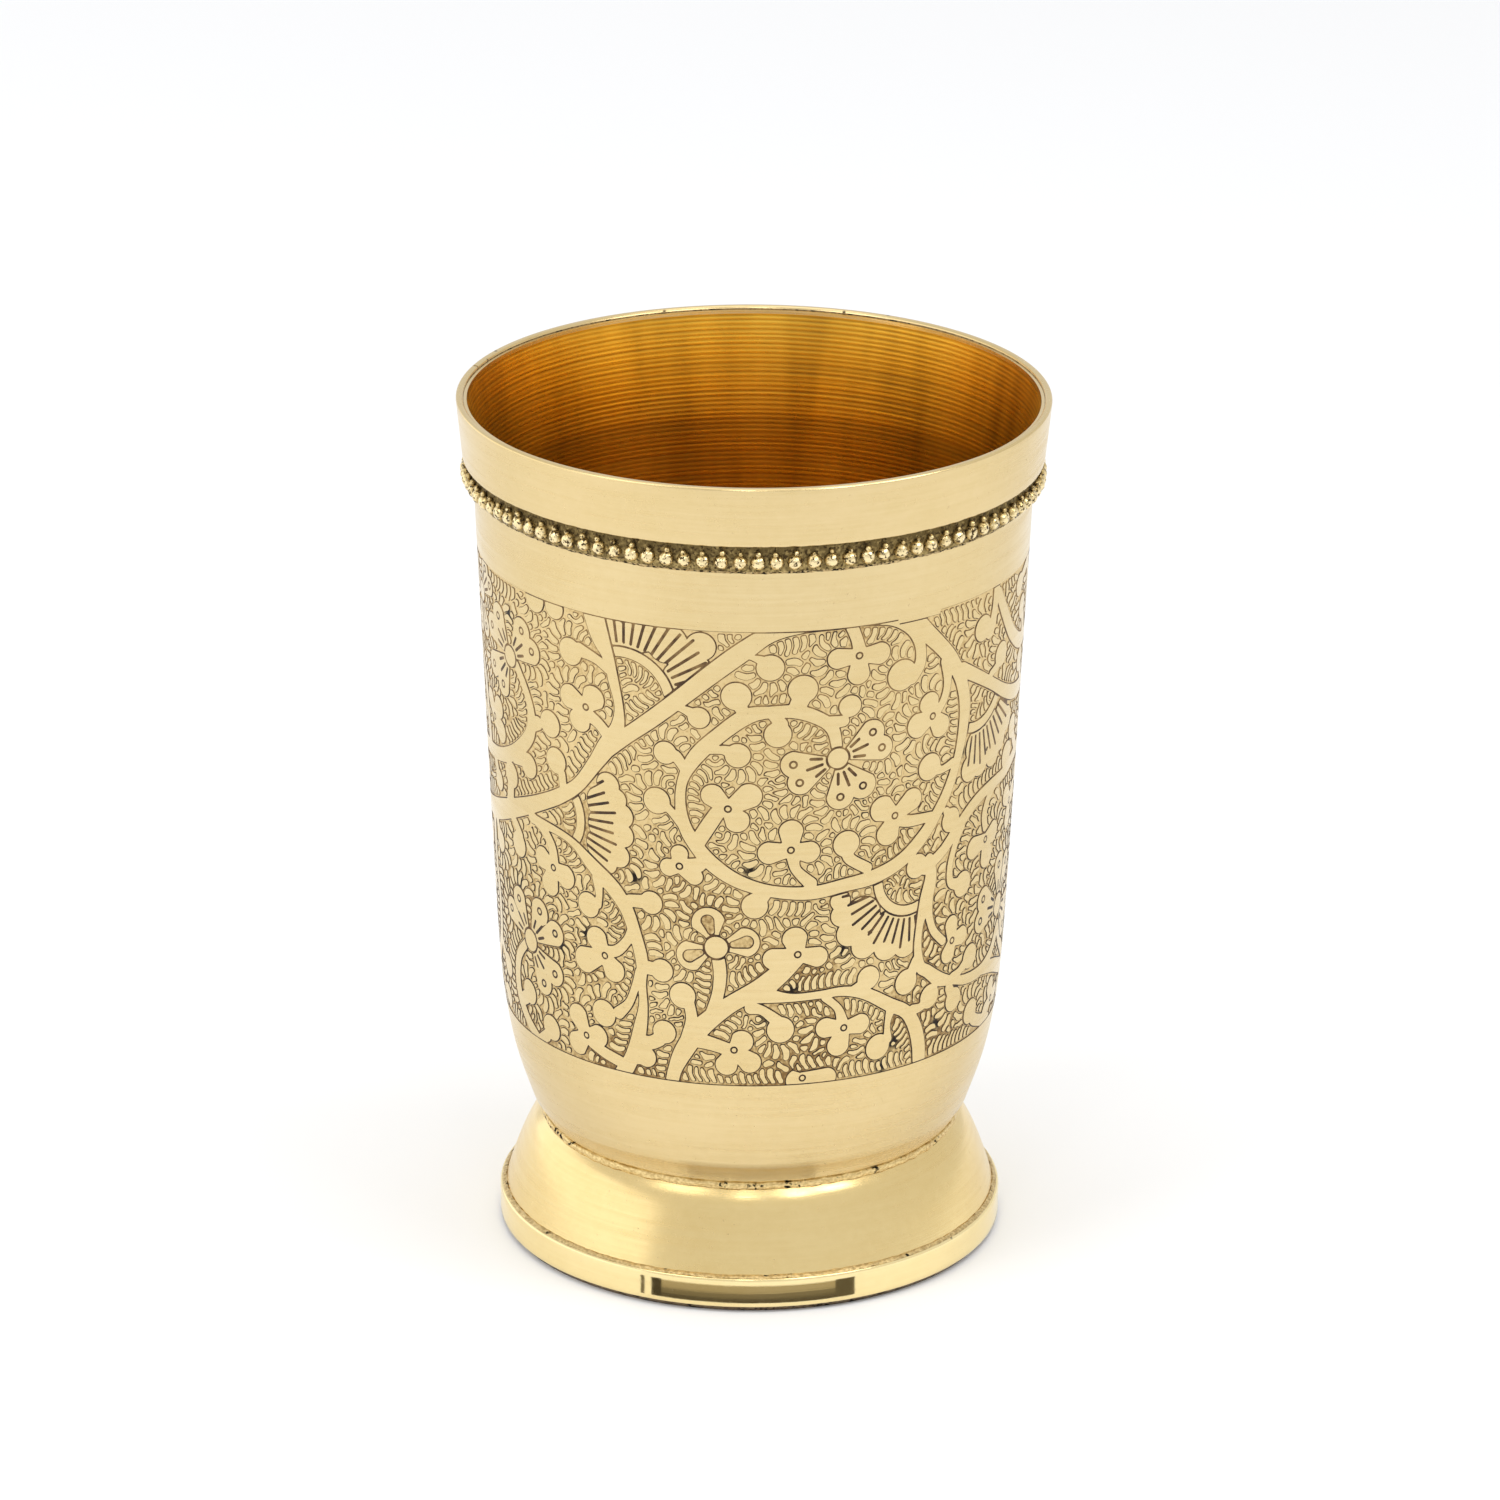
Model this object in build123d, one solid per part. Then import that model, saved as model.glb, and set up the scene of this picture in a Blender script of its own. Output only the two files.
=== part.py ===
"""Engraved brass tumbler on a foot, in millimetres.

Frame: Z is the axis of the tumbler and points up; the origin is the centre of the flat ring
it stands on. +X is the tumbler's right and -Y its front. Every shape is turned about Z.
The brazed seam of the rim band is at the left, a little behind the middle.
"""
from build123d import *
import math
import os

# ---- heights above the table -------------------------------------------------------------
HEIGHT = 112.0
FOOT_BAND_TOP = 4.65
SPIGOT_BOTTOM = 13.9
NECK = 15.1
CUP_UNDERSIDE = 18.1
CUP_EDGE = 18.0
INNER_FLOOR = 19.6
FLARE_START = 100.4
STRIP_BOTTOM = 100.9
BAND_BOTTOM = 104.3
CUP_TOP = 111.6

# ---- radii -------------------------------------------------------------------------------
RIM = 37.5
BAND_LOWER = 36.7
CUP_TOP_OUTER = 36.5
CUP_TOP_INNER = 36.1
FLARE = 35.3
CUP_EDGE_R = 28.3
NECK_R = 26.5
SPIGOT_WALL = 1.6
FOOT_BAND_R = 32.5
FOOT_BAND_INNER = 30.3
FOOT_BOTTOM_R = 31.7

# ---- sheet thicknesses and small details -------------------------------------------------
FOOT_BAND_CHAMFER = 0.9
FOOT_WALL = 1.3
LIP_ROUND = 0.3
LIP_BEVEL = 0.25
BAND_EDGE_BREAK = 0.2
STRIP_THICKNESS = 0.3
SEAM_WIDTH_DEG = 0.45
SEAM_AZIMUTH_DEG = 163.3
SEAM_SINK = 0.06
SOLDER_LEG = 0.5
JOINT_LINE = 0.16

# ---- beads of the gallery strip ----------------------------------------------------------
BEAD_COUNT = 100
BEAD_RADIUS = 0.98
BEAD_RING_R = 36.15
BEAD_Z = 102.4

# ---- turned curves, as (radius, height) --------------------------------------------------
CUP_OUTSIDE = [
    (CUP_EDGE_R, CUP_EDGE),
    (30.4, 24.4),
    (31.65, 30.8),
    (32.4, 38.0),
    (33.05, 50.0),
    (33.7, 64.0),
    (34.25, 77.0),
    (34.8, 89.0),
    (FLARE, FLARE_START),
]
CUP_INSIDE = [
    (34.2, 99.0),
    (33.65, 88.0),
    (33.15, 77.0),
    (32.6, 64.0),
    (31.95, 50.0),
    (31.2, 38.0),
    (30.3, 30.8),
    (28.5, 25.0),
    (25.2, 21.4),
]
FOOT_OUTSIDE = [
    (NECK_R, NECK),
    (27.9, 13.7),
    (29.0, 11.9),
    (29.95, 9.8),
    (30.9, 7.2),
    (FOOT_BAND_R - 0.75, FOOT_BAND_TOP),
]


def flare_radius(z):
    """Outer radius of the cup's flared mouth, which the strip and the band sit on."""
    rise = (z - FLARE_START) / (CUP_TOP - FLARE_START)
    return FLARE + rise * (CUP_TOP_OUTER - FLARE)


def at(radius, z):
    """A point of a turned outline, on the XZ plane."""
    return (radius, 0, z)


def chain(*points):
    """Straight edges through the points, in order."""
    return [Line(a, b) for a, b in zip(points, points[1:])]


def turned(edges, arc=360.0, start=0.0):
    """The closed outline turned about Z from the start angle."""
    section = make_face(edges)
    return Rot(0, 0, start) * revolve(section, axis=Axis.Z, revolution_arc=arc)


def cup_body():
    """The vessel: thin wall with a flared mouth, curved bottom and a short ring below it."""
    outside = Spline(*[at(r, z) for r, z in CUP_OUTSIDE])
    inside = Spline(
        *[at(r, z) for r, z in CUP_INSIDE],
        at(18.0, INNER_FLOOR),
        tangents=[(-0.05, 0, -1), (-1, 0, 0)],
    )
    mouth = chain(
        at(FLARE, FLARE_START),
        at(CUP_TOP_OUTER, CUP_TOP),
        at(CUP_TOP_INNER, CUP_TOP),
        at(*CUP_INSIDE[0]),
    )
    bottom = chain(
        at(18.0, INNER_FLOOR),
        at(0, INNER_FLOOR),
        at(0, CUP_UNDERSIDE),
        at(NECK_R - SPIGOT_WALL, CUP_UNDERSIDE),
        at(NECK_R - SPIGOT_WALL, SPIGOT_BOTTOM),
        at(NECK_R, SPIGOT_BOTTOM),
        at(NECK_R, NECK),
        at(CUP_EDGE_R, CUP_EDGE),
    )
    return turned([outside, *mouth, inside, *bottom])


def band_section(sink=0.0):
    """Outline of the rim band: tapered outside, rounded lip, broken lower edge."""
    lip = HEIGHT - sink
    side = RIM - sink
    lower = BAND_LOWER - sink
    taper = (side - lower) / (lip - BAND_BOTTOM)
    round_start = lip - LIP_ROUND
    corner = side - taper * LIP_ROUND
    middle = LIP_ROUND * (1 - math.sqrt(0.5))
    top_arc = ThreePointArc(
        at(corner, round_start),
        at(side - middle, lip - middle),
        at(side - LIP_ROUND, lip),
    )
    edges = chain(
        at(side - LIP_ROUND, lip),
        at(CUP_TOP_OUTER + LIP_BEVEL, lip),
        at(CUP_TOP_OUTER, CUP_TOP),
        at(flare_radius(BAND_BOTTOM), BAND_BOTTOM),
        at(lower - BAND_EDGE_BREAK, BAND_BOTTOM),
        at(lower + taper * BAND_EDGE_BREAK, BAND_BOTTOM + BAND_EDGE_BREAK),
        at(corner, round_start),
    )
    return [top_arc, *edges]


def rim_band():
    """Strip bent round the mouth; its ends stop either side of the brazed seam."""
    start = SEAM_AZIMUTH_DEG + SEAM_WIDTH_DEG / 2
    return turned(band_section(), 360 - SEAM_WIDTH_DEG, start)


def rim_band_seam():
    """Brazing metal between the two ends of the rim band, filed slightly below it."""
    start = SEAM_AZIMUTH_DEG - SEAM_WIDTH_DEG / 2
    return turned(band_section(SEAM_SINK), SEAM_WIDTH_DEG, start)


def bead_strip():
    """Gallery strip under the rim band: a flat ring with a row of round beads."""
    low = flare_radius(STRIP_BOTTOM)
    high = flare_radius(BAND_BOTTOM)
    ring = turned(
        chain(
            at(low, STRIP_BOTTOM),
            at(low + STRIP_THICKNESS * 2, STRIP_BOTTOM),
            at(high + STRIP_THICKNESS, BAND_BOTTOM),
            at(high, BAND_BOTTOM),
            at(low, STRIP_BOTTOM),
        )
    )
    ball = Pos(BEAD_RING_R, 0, BEAD_Z) * Sphere(BEAD_RADIUS)
    behind = Pos(flare_radius(BEAD_Z) + STRIP_THICKNESS / 2, 0, BEAD_Z) * Box(
        4, 4, 4, align=(Align.MAX, Align.CENTER, Align.CENTER)
    )
    bead = ball - behind
    step = 360 / BEAD_COUNT
    beads = [Rot(0, 0, i * step) * bead for i in range(BEAD_COUNT)]
    return ring.fuse(*beads)


def bead_strip_solder():
    """Rough solder fillet that holds the lower edge of the bead strip."""
    low = flare_radius(STRIP_BOTTOM)
    root = at(low, STRIP_BOTTOM)
    return turned(chain(root, at(low + SOLDER_LEG, STRIP_BOTTOM), at(FLARE, FLARE_START), root))


def foot_outline():
    """Outer curve of the foot, from the neck down to its band."""
    return Spline(*[at(r, z) for r, z in FOOT_OUTSIDE])


def foot_bell():
    """Flared sheet foot, soldered to the ring under the cup."""
    outside = foot_outline()
    last_r, last_z = FOOT_OUTSIDE[-1]
    inside = Spline(
        at(last_r - FOOT_WALL, last_z),
        at(28.6, 9.3),
        at(27.5, 11.7),
        at(NECK_R, 13.2),
    )
    edges = chain(at(last_r, last_z), at(last_r - FOOT_WALL, last_z))
    neck = chain(at(NECK_R, 13.2), at(NECK_R, NECK))
    return turned([outside, *edges, inside, *neck])


def neck_solder():
    """Thin solder fillet in the notch between the cup and the foot."""
    outline = foot_outline()
    root = at(NECK_R, NECK)
    up_cup = SOLDER_LEG / (CUP_EDGE - NECK)
    on_cup = at(NECK_R + up_cup * (CUP_EDGE_R - NECK_R), NECK + SOLDER_LEG)
    on_foot = outline.trim(0, 0.045)
    return turned([on_foot, *chain(on_foot @ 1, on_cup, root)])


def foot_band():
    """Straight band round the base, with a chamfered lower edge and a flat bottom ring."""
    return turned(
        chain(
            at(FOOT_BAND_INNER, 0),
            at(FOOT_BOTTOM_R, 0),
            at(FOOT_BAND_R, FOOT_BAND_CHAMFER),
            at(FOOT_BAND_R, FOOT_BAND_TOP - JOINT_LINE),
            at(FOOT_BAND_R - JOINT_LINE, FOOT_BAND_TOP),
            at(FOOT_BAND_INNER, FOOT_BAND_TOP),
            at(FOOT_BAND_INNER, 0),
        )
    )


def foot_band_solder():
    """Solder line in the corner between the foot and its band."""
    on_foot = foot_outline().trim(0.97, 1)
    corner_r, corner_z = FOOT_OUTSIDE[-1]
    on_band = at(corner_r + SOLDER_LEG, corner_z)
    return turned([on_foot, *chain(on_foot @ 1, on_band, on_foot @ 0)])


PARTS = {
    "cup_body": cup_body,
    "rim_band": rim_band,
    "rim_band_seam": rim_band_seam,
    "bead_strip": bead_strip,
    "bead_strip_solder": bead_strip_solder,
    "foot_bell": foot_bell,
    "neck_solder": neck_solder,
    "foot_band": foot_band,
    "foot_band_solder": foot_band_solder,
}

os.makedirs("parts", exist_ok=True)
for name, make in PARTS.items():
    shape = make()
    shape.label = name
    export_step(shape, f"parts/{name}.step")
    print(name, len(shape.solids()), round(shape.volume, 2))
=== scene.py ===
import math
import random

import bmesh
import bpy
import numpy as np
from mathutils import Matrix, Vector, noise
from mathutils.geometry import delaunay_2d_cdt


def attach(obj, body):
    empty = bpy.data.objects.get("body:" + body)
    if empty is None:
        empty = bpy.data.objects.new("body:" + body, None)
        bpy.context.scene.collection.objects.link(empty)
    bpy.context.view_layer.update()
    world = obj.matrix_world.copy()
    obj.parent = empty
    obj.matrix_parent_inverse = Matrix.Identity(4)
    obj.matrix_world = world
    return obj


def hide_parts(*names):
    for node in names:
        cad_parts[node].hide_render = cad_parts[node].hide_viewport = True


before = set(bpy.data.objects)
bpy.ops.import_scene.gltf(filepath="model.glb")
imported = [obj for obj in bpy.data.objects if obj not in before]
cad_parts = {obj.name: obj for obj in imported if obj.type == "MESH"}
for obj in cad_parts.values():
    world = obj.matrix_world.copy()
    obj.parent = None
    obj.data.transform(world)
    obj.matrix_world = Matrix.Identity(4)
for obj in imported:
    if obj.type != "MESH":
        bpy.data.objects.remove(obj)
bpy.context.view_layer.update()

# An engraved brass tumbler on a foot. Sizes are in mm, from the middle of the ring it stands
# on: Z is its axis, +X its right and -Y its front. Turns and angles run from the front
# towards the right.
MM = 0.001


# ================================ materials ================================
class Shader:
    """Short way to wire a procedural metal. Lengths in its nodes are in mm."""

    def __init__(self, name):
        self.material = bpy.data.materials.new(name)
        self.material.use_nodes = True
        self.tree = self.material.node_tree
        self.bsdf = self.tree.nodes["Principled BSDF"]
        self.place = self.scaled(self.node("TexCoord")["Object"], (1 / MM, 1 / MM, 1 / MM))

    def put(self, socket, value):
        """Links a node's output to a socket, or sets a plain value or colour on it."""
        if isinstance(value, bpy.types.NodeSocket):
            self.tree.links.new(value, socket)
        elif socket.type == "RGBA":
            socket.default_value = (*value, 1)
        else:
            socket.default_value = value

    def node(self, kind, inputs=None, **settings):
        """Adds a node and returns its outputs."""
        node = self.tree.nodes.new("ShaderNode" + kind)
        for name, value in settings.items():
            setattr(node, name, value)
        for key, value in (inputs or {}).items():
            self.put(node.inputs[key], value)
        return node.outputs

    def scaled(self, source, scale, offset=(0, 0, 0)):
        inputs = {"Vector": source, "Scale": scale, "Location": offset}
        return self.node("Mapping", inputs)["Vector"]

    def noise(self, scale, detail=3.0, stretch=(1, 1, 1), offset=(0, 0, 0), rough=0.55):
        place = self.scaled(self.place, stretch, offset)
        return self.node("TexNoise", {"Vector": place, "Scale": scale, "Detail": detail,
                                      "Roughness": rough})["Fac"]

    def waves(self, scale, uneven):
        """Even ridges running round the piece."""
        return self.node("TexWave", {"Vector": self.place, "Scale": scale, "Distortion": uneven,
                                     "Detail": 2, "Detail Scale": 0.25}, bands_direction="Z")["Fac"]

    def ramp(self, fac, *stops):
        """Stops are (position, grey or colour)."""
        node = self.tree.nodes.new("ShaderNodeValToRGB")
        ramp = node.color_ramp
        while len(ramp.elements) < len(stops):
            ramp.elements.new(0.5)
        for element, (at, value) in zip(ramp.elements, stops):
            element.position = at
            element.color = (*value, 1) if isinstance(value, tuple) else (value, value, value, 1)
        self.put(node.inputs["Fac"], fac)
        return node.outputs["Color"]

    def mix(self, fac, a, b):
        return self.node("Mix", {"Factor": fac, "A": a, "B": b}, data_type="RGBA")["Result"]

    def sum(self, *terms):
        """Weighted sum of (value, weight)."""
        total = 0.0
        for value, weight in terms:
            total = self.node("Math", {0: value, 1: weight, 2: total}, operation="MULTIPLY_ADD")[0]
        return total

    def level(self):
        """Height above the table and distance from the axis."""
        height = self.node("SeparateXYZ", {"Vector": self.place})["Z"]
        flat = self.scaled(self.place, (1, 1, 0))
        return height, self.node("VectorMath", {0: flat}, operation="LENGTH")["Value"]

    def between(self, value, low, high):
        return self.node("MapRange", {"Value": value, "From Min": low, "From Max": high})["Result"]

    def spots(self, places, radius):
        """1 near any of the places (x, y, z), 0 away from them, with ragged edges."""
        nearest = None
        for spot in places:
            away = self.node("VectorMath", {0: self.place, 1: spot}, operation="DISTANCE")["Value"]
            if nearest is not None:
                away = self.node("Math", {0: nearest, 1: away}, operation="MINIMUM")[0]
            nearest = away
        ragged = self.sum((nearest, 1.0), (self.noise(1.6), radius * 1.2))
        return self.between(ragged, radius * 1.7, radius * 0.9)

    def finish(self, colour, metallic, roughness, height=None, strength=0.2, distance=0.05):
        """Wires the surface; height drives a bump that is this many mm deep."""
        self.put(self.bsdf.inputs["Base Color"], colour)
        self.put(self.bsdf.inputs["Metallic"], metallic)
        self.put(self.bsdf.inputs["Roughness"], roughness)
        if height is not None:
            bump = self.node("Bump", {"Height": height, "Strength": strength,
                                      "Distance": distance * MM})
            self.put(self.bsdf.inputs["Normal"], bump["Normal"])
        return self.material


def polished(name, light, shade, grain=1.0, rough=(0.16, 0.34), pits=()):
    """Polished brass with turning marks running round it, handling wear and light tarnish."""
    s = Shader(name)
    cloud = s.noise(0.045, 4, (1, 1, 1.5), (3, 1, 7))
    mottle = s.noise(0.7, 5, (1, 1, 1.3), (9, 4, 2))
    marks = s.noise(1.0, 3, (0.05, 0.05, 2.2), (2, 8, 5))
    fine = s.noise(1.0, 2, (0.12, 0.12, 9.0), (7, 3, 1))
    scratch = s.noise(1.0, 2, (2.2, 2.2, 0.35), (1, 6, 9))
    tone = s.sum((cloud, 0.5), (mottle, 0.22), (marks, 0.28))
    colour = s.ramp(tone, (0.32, shade), (0.62, light))
    worn = s.ramp(scratch, (0.62, 0.0), (0.74, 1.0))
    speck = s.ramp(s.noise(2.6, 2, offset=(5, 5, 5)), (0.70, 0.0), (0.76, 1.0))
    dull = tuple(c * 0.55 for c in shade)
    colour = s.mix(s.sum((speck, 0.35)), colour, dull)
    if pits:
        colour = s.mix(s.spots(pits, 0.3), colour, PIT_BLACK)
    gloss = s.ramp(s.sum((cloud, 0.4), (marks, 0.6)), (0.3, rough[1]), (0.65, rough[0]))
    roughness = s.sum((gloss, 1), (worn, 0.05), (speck, 0.12))
    height = s.sum((marks, 0.5), (fine, 0.35 * grain), (mottle, 0.25), (scratch, 0.1))
    return s.finish(colour, 1.0, roughness, height, 0.35, 0.05 * grain)


def ground_metal():
    """Etched ground between the raised parts: matt tan, darker where patina has gathered and darker
    towards the bottom.
    """
    s = Shader("etched_ground")
    grit = s.noise(2.2, 5, offset=(4, 4, 4))
    cloud = s.noise(0.09, 4, offset=(8, 1, 3))
    z, _ = s.level()
    lower = s.between(z, 70, 34)
    tone = s.sum((grit, 0.45), (cloud, 0.55), (lower, -0.13))
    colour = s.ramp(tone, (0.3, (0.24, 0.14, 0.05)), (0.39, (0.50, 0.35, 0.15)),
                    (0.48, (0.68, 0.51, 0.245)), (0.7, (0.75, 0.58, 0.30)))
    colour = s.mix(s.spots(DARK_PATCHES, PATCH_RADIUS), colour, (0.02, 0.013, 0.008))
    return s.finish(colour, 0.8, s.ramp(grit, (0.3, 0.56), (0.7, 0.36)), grit, 0.5, 0.04)


def edge_patina_and_painted_shade():
    """Steep edges of the cuts: dark patina that stays there, darkened further as painted shade of
    the cut, and darker towards the bottom.
    """
    s = Shader("cut_edge_patina_and_painted_shade")
    z, _ = s.level()
    tone = s.sum((s.noise(0.55, 4, offset=(2, 9, 4)), 0.8),
                 (s.noise(0.08, 3, offset=(5, 2, 2)), 0.3), (s.between(z, 76, 44), -0.16))
    # Near black to dark brown: patina in the cuts with painted shade laid over it.
    colour = s.ramp(tone, (0.37, (0.03, 0.015, 0.007)), (0.50, (0.10, 0.052, 0.018)),
                    (0.64, (0.24, 0.145, 0.052)))
    colour = s.mix(s.spots(DARK_PATCHES, PATCH_RADIUS), colour, (0.012, 0.008, 0.006))
    return s.finish(colour, 0.5, 0.5)


def inside_metal_with_painted_streaks():
    """Inside of the cup: warmer brass with close turning ridges, and broad upright streaks that are
    partly tarnish and partly painted reflection.
    """
    s = Shader("cup_inside_tarnish_and_painted_streaks")
    ridge = s.waves(0.51, 0.5)
    streak = s.noise(1.0, 2, (0.012, 0.012, 1.3), (5, 5, 5))
    cloud = s.noise(0.05, 4, offset=(6, 2, 1))
    # Broad upright streaks: partly uneven tarnish, partly painted reflection streaks.
    wide = s.noise(0.075, 3, (1, 1, 0.12), (4, 7, 1), 0.6)
    tone = s.sum((streak, 0.2), (cloud, 0.1), (ridge, 0.1), (wide, 0.6))
    colour = s.ramp(tone, (0.37, (0.46, 0.27, 0.045)), (0.47, (0.74, 0.45, 0.055)),
                    (0.57, (0.97, 0.62, 0.085)))
    rough = s.ramp(s.sum((streak, 0.5), (cloud, 0.5)), (0.3, 0.34), (0.7, 0.24))
    return s.finish(colour, 1.0, rough, s.sum((ridge, 0.22), (streak, 0.7)), 1.0, 0.035)


def bead_wear_patina_and_painted_light():
    """Cast beads: bright on their outermost parts, as wear and as a painted highlight, and dark
    brown in the hollows behind them, as patina and as painted shade.
    """
    s = Shader("cast_beads_wear_and_painted_light")
    z, r = s.level()
    grit = s.noise(1.8, 4, offset=(3, 7, 1))
    pits = s.noise(2.6, 2, offset=(1, 1, 8))
    # The strip leans outwards as it rises, so the radius is counted from a leaning wall.
    relief = s.between(s.sum((r, 1.0), (z, -0.11), (grit, 1.3)), 25.3, 26.4)
    # Dark where the strip lies back and bright where a bead stands out: patina and wear, with
    # painted shade in the hollows and a painted highlight on the tops.
    colour = s.ramp(relief, (0.0, (0.17, 0.12, 0.045)), (0.3, (0.42, 0.31, 0.125)),
                    (0.6, (0.60, 0.45, 0.20)), (0.85, (0.92, 0.75, 0.42)))
    colour = s.mix(s.ramp(pits, (0.54, 0.0), (0.61, 1.0)), colour, (0.07, 0.045, 0.018))
    rough = s.ramp(relief, (0.1, 0.6), (0.8, 0.16))
    return s.finish(colour, 0.95, rough, s.sum((grit, 0.8), (pits, 0.5)), 0.6, 0.14)


def solder_metal(name, light, dark, pit_scale=1.1, level=0.5, voids=()):
    """Rough brazing metal with black pits, more of them near the voids."""
    s = Shader(name)
    grit = s.noise(2.4, 5, (1, 1, 1.6), (2, 5, 2))
    pits = s.noise(pit_scale, 4, (1, 1, 1.4), (7, 7, 7))
    colour = s.ramp(grit, (0.35, dark), (0.62, light))
    if voids:
        pits = s.sum((pits, 1.0), (s.spots(voids, 1.3), 0.17))
    hole = s.ramp(pits, (level, 0.0), (level + 0.05, 1.0))
    colour = s.mix(hole, colour, (0.012, 0.008, 0.005))
    rough = s.mix(hole, s.ramp(grit, (0.3, 0.5), (0.7, 0.3)), (0.85, 0.85, 0.85))
    return s.finish(colour, 0.85, rough, grit, 0.6, 0.08)


# ============================ layout of the engraving ============================
# A place on the cup's side is (u, v): u runs round the cup from the front towards the
# right, in mm at ENGRAVE_R, and v is the height in mm. One panel is half the way round
# and is used twice. Shapes are chains of (u, v, half width).
ENGRAVE_R = 34.0
PANEL = math.pi * ENGRAVE_R
V_LOW, V_HIGH = 30.2, 93.6  # the height of the panel, a little past its borders
BORDER_LOW, BORDER_TOP = 30.95, 92.75
CELL = 0.07  # pitch of the grid that the relief is worked out on
FAR = 9.0  # depth given to a place that no shape reaches
REACH = 4.5  # how far round itself a shape is worked out
GAP = 0.38  # channel between a shape and the background strokes
OUTLINE = 0.5  # share of the true depth kept round a shape: less makes its outline wider
WALL = 0.09  # width of the steep edge of a cut
DEPTH = 0.09  # depth of a cut


def on_ring(radius, turns, height):
    """Places on a ring, at angles in degrees."""
    return [(radius * math.sin(math.radians(a)), -radius * math.cos(math.radians(a)), height)
            for a in turns]


def on_side(u, v):
    """Place on the cup's side, near enough for a mark in the metal."""
    radius = 33.05 + 0.045 * (v - 50) if v > 38 else 31.65 + 0.1 * (v - 30.8)
    return (radius * math.sin(u / ENGRAVE_R), -radius * math.cos(u / ENGRAVE_R), v)


PATCH_RADIUS = 1.3
DARK_PATCHES = [on_side(*place) for place in (
    (-0.2, 60.9), (-15.2, 58.5), (5.4, 44.5), (7.6, 30.7), (12, 49), (2, 40.5), (-27.5, 46),
    (-36.5, 88.4), (29.5, 72.4), (20.2, 35), (18.6, 31.8), (27.6, 35.5), (-37, 52), (-23, 49.4))]
PIT_BLACK = (0.03, 0.02, 0.01)
LIP_PITS = on_ring(36.6, (198.6, 161.4, 248), 111.75) + on_ring(37.1, (243, 152), 111.9)
NECK_VOIDS = on_ring(27.0, (-77, -72, -67, -63, -58, -7, 1.5, 10, 14, 36, 62), 15.3)
BAND_PIT = on_ring(32.2, (53.3,), 4.5)

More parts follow.
